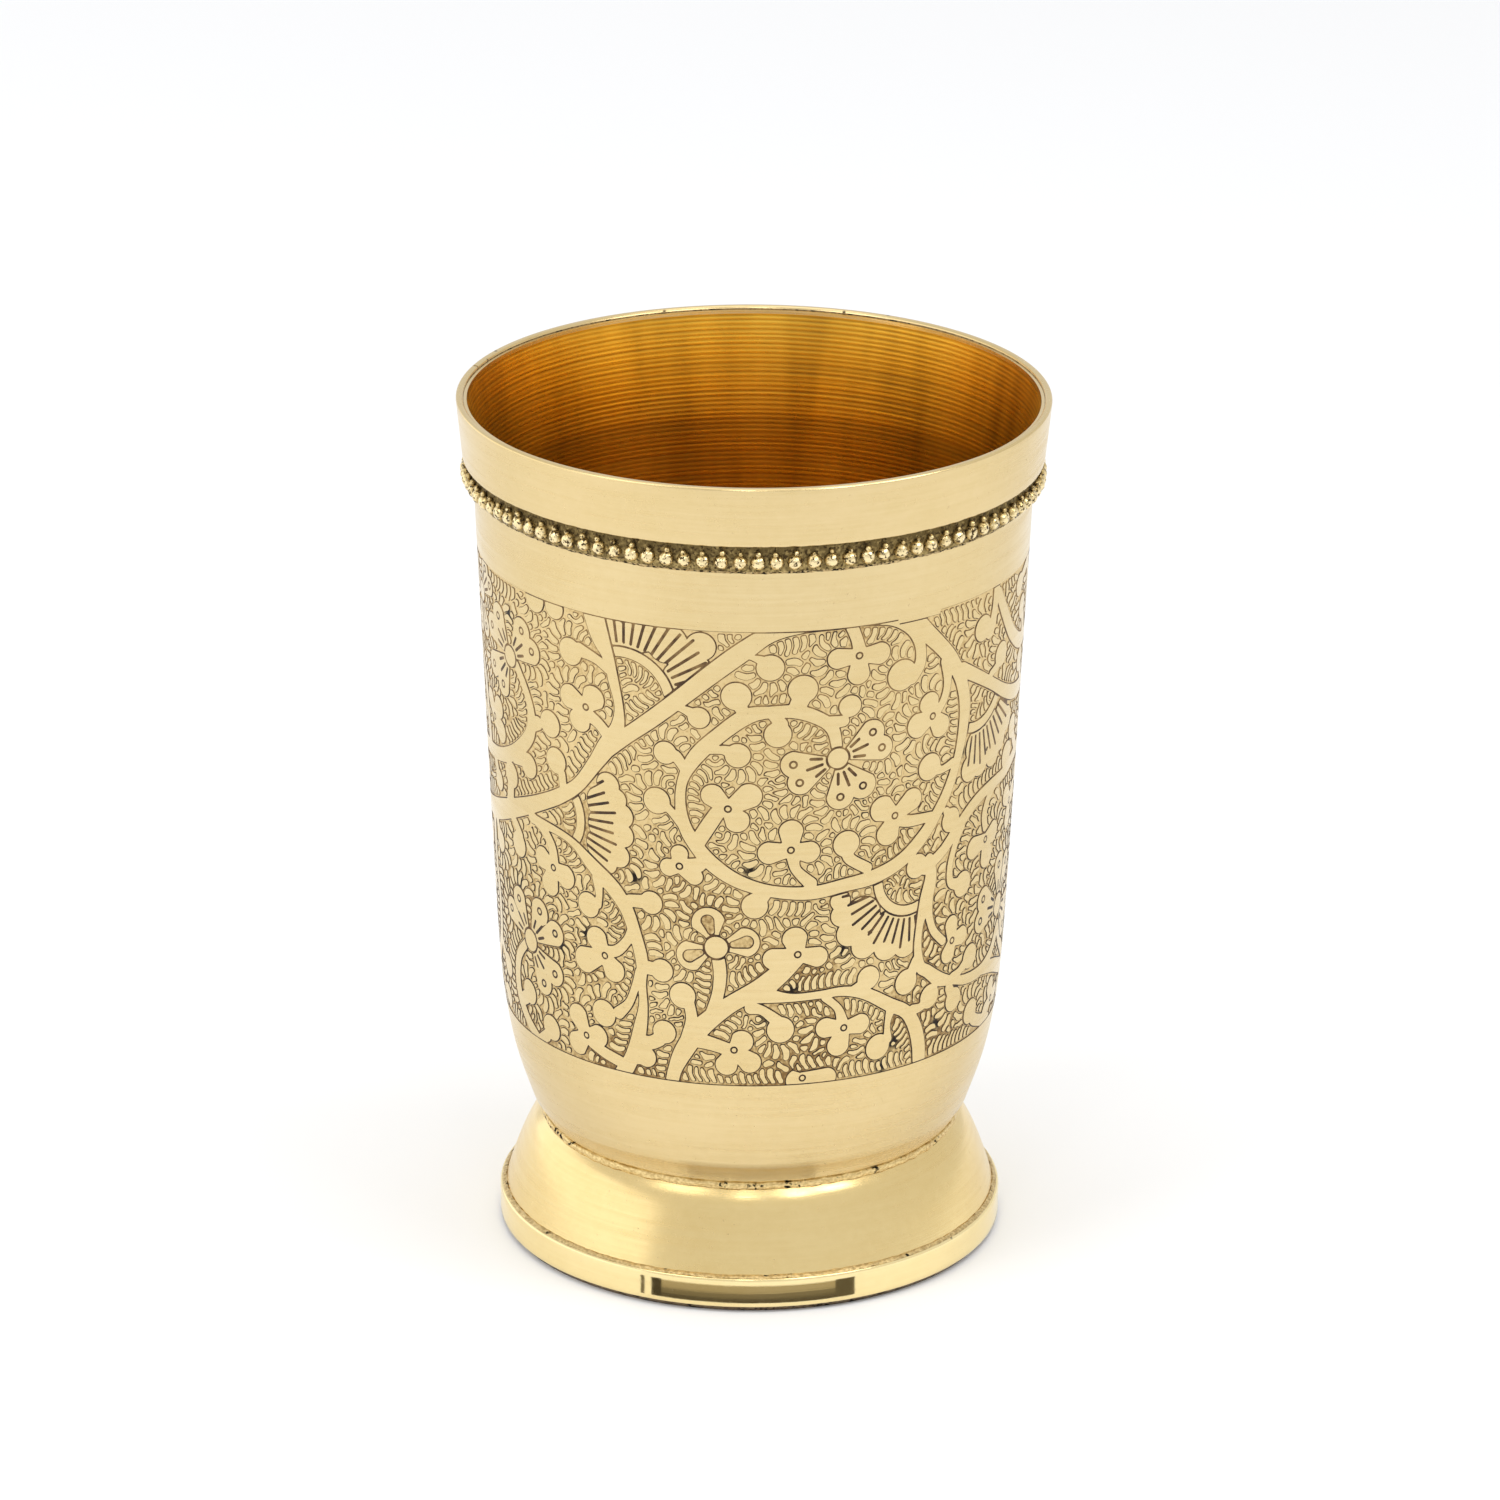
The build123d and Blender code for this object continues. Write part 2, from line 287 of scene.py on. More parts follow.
# Broad stems; where two touch they run together.
STEMS = [
    [(-20.6, 94, 1.5), (-19.5, 90.2, 1.3), (-18.2, 87.2, .72), (-17.7, 84.6, .7), (-17, 81.2, .58),
     (-17.3, 78.3, .9), (-18.9, 75.5, 1.2), (-20.9, 72.6, .95), (-23.6, 69.2, .85),
     (-26.8, 66.9, .95), (-30.6, 64.9, 1), (-35, 62.9, 1.15), (-40, 60.9, 1.3), (-45, 59.2, 1.4),
     (-50, 58.3, 1.2), (-53.4, 58.2, 1.1)],
    [(-18.9, 75.2, 1.1), (-16, 77.5, .95), (-12.9, 80, 1), (-9, 83.4, 1.05), (-5, 87, 1.15),
     (-1.4, 90, 1.2), (2, 92.4, 1), (6, 93.4, .9), (11, 93.6, .9)],
    [(10.5, 77, .65), (10, 79.2, .75), (8.6, 80.7, .8), (5.6, 82, .85), (2, 82.1, .75),
     (-.8, 81.5, 1), (-4, 79, .95), (-6.9, 76, .95), (-8.6, 72.8, .62), (-9, 69.7, .62),
     (-8.5, 66.5, .8), (-6.9, 63.7, .9), (-4.7, 61.3, .95), (-1.6, 59.3, .85), (2.5, 58, .75),
     (7.5, 57.5, .85), (12, 58.1, .85), (16, 58.6, .95), (20, 60, .95), (23.4, 62.6, .95),
     (26.2, 65.9, .85), (27.9, 68.8, .8), (29.1, 72, .75), (29.8, 75.3, .9), (29.9, 78.8, 1),
     (28.9, 82.2, .95), (27, 85.4, 1), (24.9, 87.8, 1), (22.3, 90.4, 1.1), (20, 93, 1.2)],
    [(11.5, 94, .8), (12.6, 91.4, .7), (13.1, 89.6, .8)],
    [(14, 94, 1.3), (17.5, 92.7, .6), (20.3, 91, .75), (21.6, 88.6, .72), (21.7, 86.2, .8),
     (20.6, 84.6, .9)],
    [(5.3, 82.4, 1), (6, 84, 1.1)], [(-1.3, 82.4, .75), (-1.8, 83.6, .9)],
    [(11.3, 80.3, .7), (9.6, 80.3, .8)], [(18.5, 66, .7), (21, 65.2, .75), (24.5, 65, .6)],
    [(-4.4, 68.4, .9), (-5.7, 66.3, .95), (-6.8, 64.4, .9)],
    [(5.2, 62.6, .8), (5.6, 60.8, .6), (7.5, 58.8, .8)],
    [(24.6, 78.8, .6), (25.9, 80.4, .6), (26.4, 82.7, .62), (26, 85.6, .9)],
    [(29, 83.6, .9), (33, 81.3, .8), (36.3, 79.4, .75), (40, 77.3, .85), (44, 75.8, 1),
     (48.5, 75.3, 1), (53.4, 76, .9)],
    [(35.9, 94, .8), (35.6, 90.5, .62), (35.2, 88, .8), (34.6, 86.9, .9)],
    [(36.4, 91.6, .7), (38.5, 88.3, .85), (41.5, 84.6, .95), (45.4, 82.2, 1), (49.5, 81.8, 1),
     (53.4, 83, 1)],
    [(24, 58, .8), (27, 59.6, .8), (30, 62.2, .85), (33.2, 64.3, .85), (37, 65.3, .8),
     (42, 65.6, .8),
     (47, 66.4, .9), (53.4, 66.5, 1)],
    [(36.4, 60, .6), (36, 62, .65), (37.2, 64.2, .65), (39.5, 65.6, .7)],
    [(24.6, 59.2, .7), (25.1, 56.8, .95), (24.5, 53.8, 1.1), (23.6, 50.6, .6), (23.4, 47.4, .6),
     (24, 44.6, .75), (25.3, 43.6, .8), (27.7, 41.8, .9), (30.6, 40.8, .55), (34, 39.9, .7),
     (38.2, 39.8, .8), (41.5, 41.2, .8), (43.5, 44, .7)],
    [(24.6, 54, 1.05), (25.1, 51.3, .6), (26.1, 48.9, .55), (28, 47, .55)],
    [(38.2, 39.8, .8), (43, 38.6, .9), (48.5, 36.6, 1), (53.4, 36, .95)],
    [(3.5, 47.2, .8), (1, 44.8, 1.1), (-3, 42.2, 1.1), (-6.6, 39, 1.25), (-8.9, 35.6, 1.2),
     (-10.3, 32.6, .9), (-10.9, 30, .9)],
    [(1, 43.9, 1.2), (5, 43.3, .55), (9, 43.4, .5), (12.3, 43.5, .6), (15.6, 42.6, .75),
     (19.2, 40.4, .85), (21.8, 38.9, .85), (23.5, 36.6, 1), (24.6, 33.6, 1.1), (25.2, 30, 1.1)],
    [(-32.8, 62.1, .7), (-28, 61.9, .5), (-24.6, 61, .55), (-21.4, 58.6, 1), (-18.5, 56.4, 1.1),
     (-16.6, 53.9, .95), (-15.4, 50.6, .85), (-14.6, 47.4, .85), (-14.6, 44, .55), (-14.5, 41, .6),
     (-15, 38, .9), (-15.8, 35, 1), (-16.9, 32.6, 1), (-18.6, 30, 1.2)],
    [(-20.9, 57.2, .8), (-20.7, 55, .5), (-20.9, 53.6, .5)], [(-16, 55.2, .8), (-14, 55.4, .9)],
    [(-20, 47.4, .8), (-18.2, 47.9, .7), (-16.6, 49.6, .6), (-15.8, 51.4, .6)],
    [(-13.6, 46.4, .9), (-12, 46.3, .9)], [(-8.2, 42.5, .7), (-7.8, 40, .75), (-8.4, 37.2, .9)],
    [(-4.3, 49, .8), (-4, 46.6, .8), (-4.3, 43.8, .75), (-5.2, 40.8, .8)],
    [(.9, 56.6, .9), (2, 58, .7)], [(-6.7, 61.3, .9), (-9.2, 61, .8)],
    [(6, 48.6, .9), (4.2, 46.7, 1), (2.4, 45, 1)],
    [(23.2, 45.6, .7), (22.6, 44.2, .8)], [(14.9, 44, .7), (13.6, 43.4, .6)],
    [(12.3, 39, .8), (11.6, 41.2, .5), (9.8, 42.9, .5)],
    [(19.2, 35.6, .6), (19, 37.7, .42), (19.4, 39.6, .7)], [(3.6, 40, .8), (1.6, 41.6, .6),
     (0, 42, .8)],
    [(-2.4, 36, .8), (-5, 36.8, .9), (-7, 37.2, 1)],
    [(-12.4, 36.6, .9), (-13.6, 36, .9), (-15, 36, .9)],
    [(-15.6, 33.6, 1), (-14.6, 33.8, 1)],
    [(-18.2, 39.3, .8), (-16.6, 41, .55), (-15.6, 43.4, .5), (-14.9, 45.6, .6)],
    [(-23, 33.9, .7), (-20.6, 33, .8), (-18.4, 32.4, .8)],
    [(-28.4, 57.6, .8), (-28.8, 59.6, .75), (-30.4, 61.4, .7), (-32.6, 62.3, .7)],
    [(-36.2, 58.6, .9), (-37.2, 60, .6), (-39.6, 61.2, .7)],
    [(-36, 43.8, .6), (-38.3, 41.4, .7), (-39.3, 38.4, .8), (-39, 35.4, .9), (-37.2, 32.8, .9),
     (-34.6, 30.8, .9)],
    [(-37, 36, .9), (-38.6, 35, .8)], [(-32.2, 32.2, .8), (-34, 31, .7)],
    [(-38.6, 62, 1), (-38.2, 64.2, .9), (-38, 65.6, 1)],
    [(-34.9, 82, .65), (-32.9, 79.3, .62), (-31.9, 76.4, .75), (-32.3, 73.8, .95), (-34.1, 71.6, 1),
     (-37.2, 69.4, 1), (-41.5, 67.8, .9), (-47, 67, .95), (-53.4, 66.5, 1)],
    [(-30.6, 75.6, .9), (-31.8, 75, .9)], [(-34.4, 69.6, 1), (-36.6, 69.2, 1)],
    [(-26.3, 70, .62), (-26.1, 68, .6)], [(-22, 79.4, .9), (-20, 78.3, .75), (-18.4, 76.6, .8)],
    [(-22.6, 87.6, .9), (-20.3, 87, .62), (-18.4, 86, .7)],
    [(-46.4, 50.4, .7), (-46.6, 54, .7), (-46.2, 58.6, .8)],
    [(53.4, 83, 1), (50.4, 87.4, .9), (49, 91, .9), (48.4, 94, 1)],
    [(-53.4, 83, 1), (-50.2, 80, .9), (-47.6, 75.6, .9), (-46.6, 71, .9), (-46, 67.4, .9)],
    [(-53.4, 36, .95), (-49.6, 37.6, .9), (-46.4, 41.4, .8), (-45.6, 46, .7), (-46.2, 50, .7)],
    [(43.5, 44, .7), (45.6, 41, .7), (49, 38.4, .8)],
]
# Round lobes of the comma leaves, each with the way its neck leaves it.
LEAVES = [
    ((-6.6, 81.1, 1.35), (-8, 81.9, .55), (-10.2, 82.5, .12)), ((-2, 84.2, 1.8),),
    ((2.1, 88, 1.65), (.8, 89.1, .5), (-1, 89.6, .12)), ((6.1, 85, 1.8),), ((12.1, 82.2, 1.4),),
    ((3.1, 79.1, 1.65), (3.4, 80.6, .8), (2.2, 81.5, .3)),
    ((-1.8, 76.3, 1.55), (-3.6, 77, .55), (-5.6, 76.7, .3)),
    ((12.1, 63.7, 1.7), (12.6, 61.6, .7), (15, 60, .7)), ((19.1, 85.2, 2),), ((.4, 56, 1.65),),
    ((-13.1, 55.4, 1.5),), ((-11.8, 46.3, 1.5),), ((-9, 43.2, 1.7),), ((-11.6, 37.8, 1.55),),
    ((-14.4, 33.9, 1.45),), ((15.8, 44.8, 1.55),), ((3.9, 38.9, 1.75),), ((17.7, 34.8, 1.75),),
    ((24, 71.8, 1.75), (26, 70.9, .5), (28, 71.3, .6)), ((28.3, 63.5, 1.6), (27.3, 65, .5)),
    ((33, 87.9, 1.7),), ((38.2, 82.8, 1.65), (37, 81.5, .6), (35.6, 81, .5)), ((42.5, 67.7, 1.8),),
    ((22.6, 58.7, 1.6), (24.6, 58.3, .7)), ((31.5, 53.8, 1.7), (28.9, 54.8, .6), (28.6, 57.2, .5),
     (29.4, 59.8, .5), (30.6, 61.9, .6)), ((34.4, 42.9, 1.65), (32, 41.6, .6), (30.4, 41.2, .7)),
    ((26, 39.9, 1.65), (24.4, 38.8, .6), (23, 38.8, .7)), ((21.7, 43, 1.7),),
    ((31, 38, 1.6), (29.8, 40, .7)), ((35.8, 34.7, 1.7), (37.4, 33, .8), (40, 32, .8),
     (43, 31, .9)),
    ((-12.1, 69.4, 1.7), (-10.4, 68.4, .5), (-8.8, 66.6, .6)),
    ((-10.9, 76, 1.45), (-9.4, 75.6, .7), (-8.2, 73.6, .5)),
    ((-28.2, 76.2, 1.75),), ((-33, 69.1, 1.65),), ((-37.8, 66.3, 1.75),), ((-27.3, 71.5, 1.7),),
    ((-24.1, 87, 1.75),), ((-22.5, 53.2, 1.65),), ((-20.6, 38.7, 1.8),), ((-36.5, 57.3, 1.7),),
    ((-35.8, 37.1, 1.65),), ((-30.9, 33.7, 1.75),), ((-30.2, 92.3, 1.7),), ((-26.6, 92.2, 1.5),),
    ((46.6, 79.2, 1.6), (48, 77, .7)), ((44.5, 70.9, 1.6), (46, 68.6, .7), (47.6, 67, .8)),
    ((50, 63.2, 1.7), (51.4, 65.2, .8)), ((48.6, 34, 1.6), (49.4, 36, .8)),
    ((-50, 63.1, 1.6), (-51.4, 65.4, .8)), ((-42.4, 64, 1.4), (-43.6, 66.4, .7)),
    ((-49.8, 54.4, 1.6), (-50.6, 57, .8)), ((-43.2, 55.4, 1.5), (-44.4, 57.6, .7), (-44.6, 59, .8)),
    ((-43.2, 38.2, 1.6), (-45, 39.6, .7), (-46.2, 41, .7)), ((-44.9, 33.4, 1.6), (-47, 34, .7),
     (-49.4, 36, .8)),
    ((45.9, 86.6, 1.6), (47.4, 84, .8), (47.6, 82.4, .8)), ((43.8, 90.2, 1.5), (46, 91.4, .7),
     (48.4, 92, .8)),
]
# Small flowers: eye, then the middle and radius of each lobe.
SMALL_FLOWERS = [
    ((-3, 69.1), (-4.9, 70.8, 1.45), (-.4, 70.9, 1.6), (-1.9, 67.6, 1.55)),
    ((4.9, 63.5), (4.9, 66, 1.5), (2.2, 63.2, 1.45), (7.2, 63.1, 1.4)),
    ((18.8, 66.4), (17, 67.6, 1.7), (21.3, 68, 1.5), (17.9, 64.2, 1.6)),
    ((13.1, 88.8), (10.4, 88.7, 1.3), (15.8, 88.7, 1.4), (13.1, 86.4, 1.4)),
    ((24.1, 78.6), (23.5, 80.4, 1.5), (21.9, 77.9, 1.65), (25.5, 77, 1.5)),
    ((6, 49.2), (5.6, 51.3, 1.6), (2.9, 48.7, 1.4), (8.6, 48.7, 1.35)),
    ((12.5, 38.4), (10, 38.7, 1.35), (14.8, 38.6, 1.35), (11.8, 36.1, 1.5)),
    ((-2.2, 36.1), (-1.2, 37.3, 1.5), (-.1, 34.4, 1.45), (-3.2, 34, 1.45)),
    ((-21.9, 80.1), (-24.4, 80.9, 1.6), (-20.8, 81.5, 1.65), (-22.9, 78.2, 1.6)),
    ((-20.1, 46.8), (-21.3, 48.8, 1.6), (-23.3, 45.5, 1.75), (-18.8, 45.1, 1.6)),
    ((-23.8, 34.8), (-25.1, 37.2, 1.6), (-21.8, 35.2, 1.5), (-25.5, 33.3, 1.6)),
    ((-28.6, 56.6), (-30.7, 57.3, 1.5), (-26.4, 56, 1.6), (-29.4, 54.2, 1.6)),
    ((29.9, 46.5), (29.6, 48.8, 1.2), (31.9, 46.6, 1.25), (29.2, 44.9, 1.3)),
    ((36.7, 58.2), (33.7, 58, 1.5), (38.9, 58.5, 1.5), (37.3, 55.8, 1.6)),
    ((7, 31.9), (6.4, 31.6, 1.6), (10.3, 31.6, 1.4)),
    ((-9.2, 60.9), (-10.6, 60.6, 1.15), (-9.2, 62.6, 1.1), (-7.3, 59.7, 1.1)),
    ((45.6, 60.4), (43.6, 61.8, 1.4), (47.6, 61, 1.5), (45.2, 58.2, 1.5)),
    ((-43, 72.4), (-41.2, 74.2, 1.5), (-40.6, 71.2, 1.5), (-44.6, 74.4, 1.3)),
    ((-50.2, 49.8), (-50.8, 52, 1.3), (-52, 48.6, 1.4), (-49.2, 47.8, 1.3)),
    ((51.6, 49.4), (51.4, 51.6, 1.3), (50, 48, 1.4), (53, 47.4, 1.2)),
    ((-50.6, 72.4), (-51, 74.6, 1.4), (-52.4, 71.2, 1.4), (-49, 71.4, 1.2)),
    ((51, 70.8), (50.2, 72.8, 1.4), (52.6, 71.6, 1.3), (49.8, 69.2, 1.3)),
    ((43.5, 33.8), (42.6, 35.8, 1.3), (45.3, 34, 1.3), (41.6, 32.8, 1.3)),
]
# Large flowers: disc, its radius, then pairs of petal lobes, each (u, v, radius).
LARGE_FLOWERS = [
    ((10.7, 75.4), 1.3, [((5.2, 75, 1.7), (6, 72.6, 1.6)), ((15.1, 78.2, 1.7), (16.4, 76, 1.6)),
                         ((11.1, 70.3, 1.75), (14, 71.4, 1.8))]),
    ((-36.5, 82.7), 1.35, [((-33.4, 87, 1.8), (-31.4, 84.9, 1.7)), ((-39.5, 87, 1.8),
     (-41.9, 85, 1.7)),
                           ((-41.8, 80, 1.7), (-38.9, 78.3, 1.7))]),
    ((-34.6, 44.7), 1.45, [((-32.1, 49.4, 1.8), (-29, 47.4, 1.7)), ((-29.4, 41.8, 1.7),
     (-31.9, 39.8, 1.7)),
                           ((-37.3, 49.4, 1.75), (-39.9, 47.2, 1.6))]),
    ((43, 47), 1.5, [((37.4, 49.7, 1.7), (36.9, 46.9, 1.6)), ((42.4, 52.6, 1.8), (46, 51.8, 1.7)),
                     ((48.4, 45.6, 1.7), (47, 42.9, 1.6))]),
    ((-46.6, 88), 1.3, [((-44.4, 91.6, 1.5), (-42.6, 90, 1.3)), ((-50.6, 90.6, 1.6),
     (-51.2, 87.6, 1.6)),
                        ((-48.6, 83.6, 1.6), (-45.2, 83.9, 1.5))]),
]
# The flower with three hollowed petals.
HOLLOW_FLOWER = ((-4.5, 50.2), 1.45, [(-5.5, 53.4, 2.15), (-.9, 51, 1.95), (-7.7, 48.9, 2)])
# Fans: centre, arch radius, first and last angle, first and last radius of the rays, petals.
FANS = [
    ((-16.3, 82.5), 6.1, 22, 96, 7.4, 12.2, [(-17.6, 91, 1.9), (-14, 91.5, 2.5), (-10.5, 90.6, 2.6),
     (-8, 88.4, 2.3), (-6.3, 90.6, 1.8), (-15.6, 89.6, 2), (-9, 86.2, 2), (-6.6, 87.6, 1.6)]),
    ((21.6, 57.9), 4.9, 188, 280, 6.1, 9.4, [(18.4, 48.7, 1.9), (21.3, 48.5, 1.9), (15, 49.4, 1.75),
     (12.9, 51.4, 1.75), (11.8, 54, 1.5), (11.5, 56, 1.3), (14.6, 53.6, 2.5), (18.4, 51.2, 2.3),
      (21.4, 50.8, 2)]),
    ((-28.6, 64.6), 5.3, -34, 34, 6.7, 10.4, [(-18.9, 70.3, 1.6), (-17.7, 68.6, 1.4),
     (-17, 66.5, 1.6),
     (-17, 63.9, 1.6), (-17.6, 61, 1.55), (-19.2, 59.6, 1.3), (-19.8, 67.6, 2.3),
      (-19.6, 64.6, 2.4),
     (-20.2, 61.8, 2.2)]),
    ((32.6, 80.9), 6, 256, 326, 7.3, 11, [(31.8, 69.5, 1.8), (34, 69.6, 1.8), (37.3, 69.8, 1.8),
     (39.3, 71.2, 1.8), (41.6, 73, 1.6), (33.2, 72.2, 2.5), (37, 73.2, 2.4), (39.6, 74.6, 2)]),
]


def smooth(points, steps=5):
    """A chain rounded through its points, as many short tapered pieces."""
    if len(points) < 3:
        return [np.array(p, float) for p in points]
    p = [np.array(q, float) for q in (points[0], *points, points[-1])]
    chain = []
    for a, b, c, d in zip(p, p[1:], p[2:], p[3:]):
        for k in range(steps):
            t = k / steps
            chain.append(
                0.5 * (2 * b + (c - a) * t + (2 * a - 5 * b + 4 * c - d) * t**2
                       + (3 * b - a - 3 * c + d) * t**3)
            )
    return chain + [p[-1]]


class Layer:
    """How far each place of the panel lies inside a shape, in mm; negative outside."""

    cols = round(PANEL / CELL)
    rows = round((V_HIGH - V_LOW) / CELL) + 1
    du = PANEL / cols
    dv = (V_HIGH - V_LOW) / (rows - 1)

    def __init__(self):
        self.field = np.full((self.rows, self.cols), -FAR)

    @classmethod
    def near(cls, low_u, high_u, low_v, high_v):
        """Rows, wrapped columns and coordinates of the cells in a window."""
        first = math.floor((low_u + PANEL / 2) / cls.du)
        last = math.ceil((high_u + PANEL / 2) / cls.du) + 1
        bottom = max(0, math.floor((low_v - V_LOW) / cls.dv))
        top = min(cls.rows, math.ceil((high_v - V_LOW) / cls.dv) + 1)
        cols = np.arange(first, last)
        rows = np.arange(bottom, max(top, bottom))
        u = (cols * cls.du - PANEL / 2)[None, :]
        v = (V_LOW + rows * cls.dv)[:, None]
        return np.ix_(rows, cols % cls.cols), u, v

    def taper(self, a, b):
        """Adds one straight tapered piece with round ends."""
        r = max(a[2], b[2]) + REACH
        where, u, v = self.near(min(a[0], b[0]) - r, max(a[0], b[0]) + r,
                                min(a[1], b[1]) - r, max(a[1], b[1]) + r)
        along = np.array(b[:2]) - np.array(a[:2])
        length = float(along @ along)
        if length > 1e-9:
            t = np.clip(((u - a[0]) * along[0] + (v - a[1]) * along[1]) / length, 0, 1)
        else:
            t = 0.0
        away = np.hypot(u - a[0] - t * along[0], v - a[1] - t * along[1])
        inside = a[2] + t * (b[2] - a[2]) - away
        self.field[where] = np.maximum(self.field[where], inside)

    def chain(self, points):
        if len(points) == 1:
            self.taper(points[0], points[0])
        for a, b in zip(points, points[1:]):
            self.taper(a, b)

    def over(self, top, gap):
        """Lays another layer over this one, with a cut channel round it."""
        self.field = np.maximum(top.field, np.minimum(self.field, -top.field - gap))

    def cut(self, tool):
        self.field = np.minimum(self.field, -tool.field)


RAY_PITCH = 0.92
PETAL_GAP = 0.34
PLANT_GAP = 0.32
BORDER_GAP = 0.17


def toward(a, b, length):
    """The point at this distance from a on the way to b."""
    d = math.hypot(b[0] - a[0], b[1] - a[1])
    return a[0] + (b[0] - a[0]) * length / d, a[1] + (b[1] - a[1]) * length / d


def ring(tool, middle, radius=0.42, width=0.13):
    """A small punched ring."""
    tool.chain([(middle[0] + radius * math.cos(a), middle[1] + radius * math.sin(a), width)
                for a in np.linspace(0, 2 * math.pi, 13)])


def disc_at(middle, radius):
    layer = Layer()
    layer.chain([(*middle, radius)])
    return layer


def draw_fans(cuts):
    """Petals behind an arch, cut by a fan of rays of uneven length."""
    layer = Layer()
    for *_, petals in FANS:
        for petal in petals:
            layer.chain([petal])
    for centre, arch, first, last, start, end, _ in FANS:
        def at(far, angle, width):
            return (centre[0] + far * math.cos(angle), centre[1] + far * math.sin(angle), width)

        band = Layer()
        band.chain([at(arch, math.radians(a), 0.6) for a in np.linspace(first - 8, last + 8, 16)])
        layer.cut(disc_at(centre, arch - 0.2))
        layer.over(band, 0.3)
        count = round(math.radians(last - first) * start / RAY_PITCH)
        for i in range(count + 1):
            a = math.radians(first + (last - first) * i / count)
            far = end - 0.5 * abs(math.sin(3.1 * i)) if i % 3 else end + 0.5
            cuts.chain([at(r, a, 0.21) for r in (start, far)])
    return layer


def draw_plants(cuts):
    """Stems, comma leaves and small flowers, all in one level."""
    layer = Layer()
    for points in STEMS:
        layer.chain(smooth(points))
    for lobe, *neck in LEAVES:
        layer.chain([lobe])
        if neck:
            u, v = toward(lobe, neck[0], lobe[2] * 0.5)
            layer.chain(smooth([(u, v, lobe[2] * 0.5), *neck]))
    for eye, *lobes in SMALL_FLOWERS:
        for lobe in lobes:
            layer.chain([(*eye, 0.8), lobe])
        ring(cuts, eye)
    return layer


def draw_large_flowers(base, cuts):
    """Each petal is a pair of lobes with two rings and three rays."""
    for disc, radius, petals in LARGE_FLOWERS:
        for pair in petals:
            petal = Layer()
            for lobe in pair:
                petal.chain([(*toward(disc, lobe, radius + 0.6), 0.55), lobe])
                ring(cuts, toward(disc, lobe, math.dist(disc, lobe[:2]) + 0.15), 0.45, 0.15)
            base.over(petal, PETAL_GAP)
            ways = [math.atan2(lobe[1] - disc[1], lobe[0] - disc[0]) for lobe in pair]
            middle_way = math.atan2(sum(map(math.sin, ways)), sum(map(math.cos, ways)))
            for turn, reach in ((-0.36, 3.5), (0, 4.1), (0.36, 3.5)):
                way = middle_way + turn
                aim = (disc[0] + math.cos(way), disc[1] + math.sin(way))
                cuts.chain([(*toward(disc, aim, r), 0.22) for r in (radius + 0.8, reach)])
        base.over(disc_at(disc, radius), PETAL_GAP)


def draw_hollow_flower(base, cuts):
    disc, radius, petals = HOLLOW_FLOWER
    for lobe in petals:
        petal = Layer()
        petal.chain([(*toward(disc, lobe, radius + 0.3), 0.9), lobe])
        base.over(petal, PETAL_GAP)
        inner = toward(disc, lobe, math.dist(disc, lobe[:2]) + 0.35)
        cuts.chain([(*toward(disc, lobe, radius + 0.8), 0.55), (*inner, 0.95)])
    base.over(disc_at(disc, radius), PETAL_GAP)


def draw_motifs():
    """Everything raised but the background strokes, with its inner cuts and without them."""
    rays, rings = Layer(), Layer()
    fans, plants = draw_fans(rays), draw_plants(rings)
    u = (np.arange(Layer.cols) * Layer.du - PANEL / 2)[None, :]
    v = (V_LOW + np.arange(Layer.rows) * Layer.dv)[:, None]
    borders = Layer()
    step = np.where(abs(u - 21.4) < 3.1, 0.55, 0.0)  # where the cut strays under the top border
    borders.field = np.maximum(v - BORDER_TOP + step, BORDER_LOW - v)
    made = []
    for cut in (True, False):
        base, marks = Layer(), Layer()
        base.field = fans.field.copy()
        if cut:
            base.cut(rays)
        base.over(plants, PLANT_GAP)
        draw_large_flowers(base, marks)
        draw_hollow_flower(base, marks)
        if cut:
            base.cut(rings)
            base.cut(marks)
            base.field = np.where(base.field < 0, OUTLINE * base.field, base.field)
        base.over(borders, BORDER_GAP)
        made.append(base.field)
    fine_line = abs(v - BORDER_TOP - 0.42) - 0.05
    made[0] = np.minimum(made[0], fine_line)
    return made


# ============================ small background pieces ============================
ROWS = 3
ROW_PITCH = 2.3
STROKE_PITCH = 0.98
STROKE = 1.55  # length
BOW = 0.3
FILLERS = 60000  # places tried for the short strokes that fill what the rows leave

# The lines that cross a cell of the grid, by which of its corners are raised. Each line joins
# two of the cell's sides: 0 left, 1 low, 2 right, 3 high.
CELL_LINES = {1: [(0, 1)], 2: [(1, 2)], 4: [(2, 3)], 8: [(3, 0)], 3: [(0, 2)], 6: [(1, 3)],
              5: [(0, 3), (1, 2)], 10: [(0, 1), (3, 2)]}


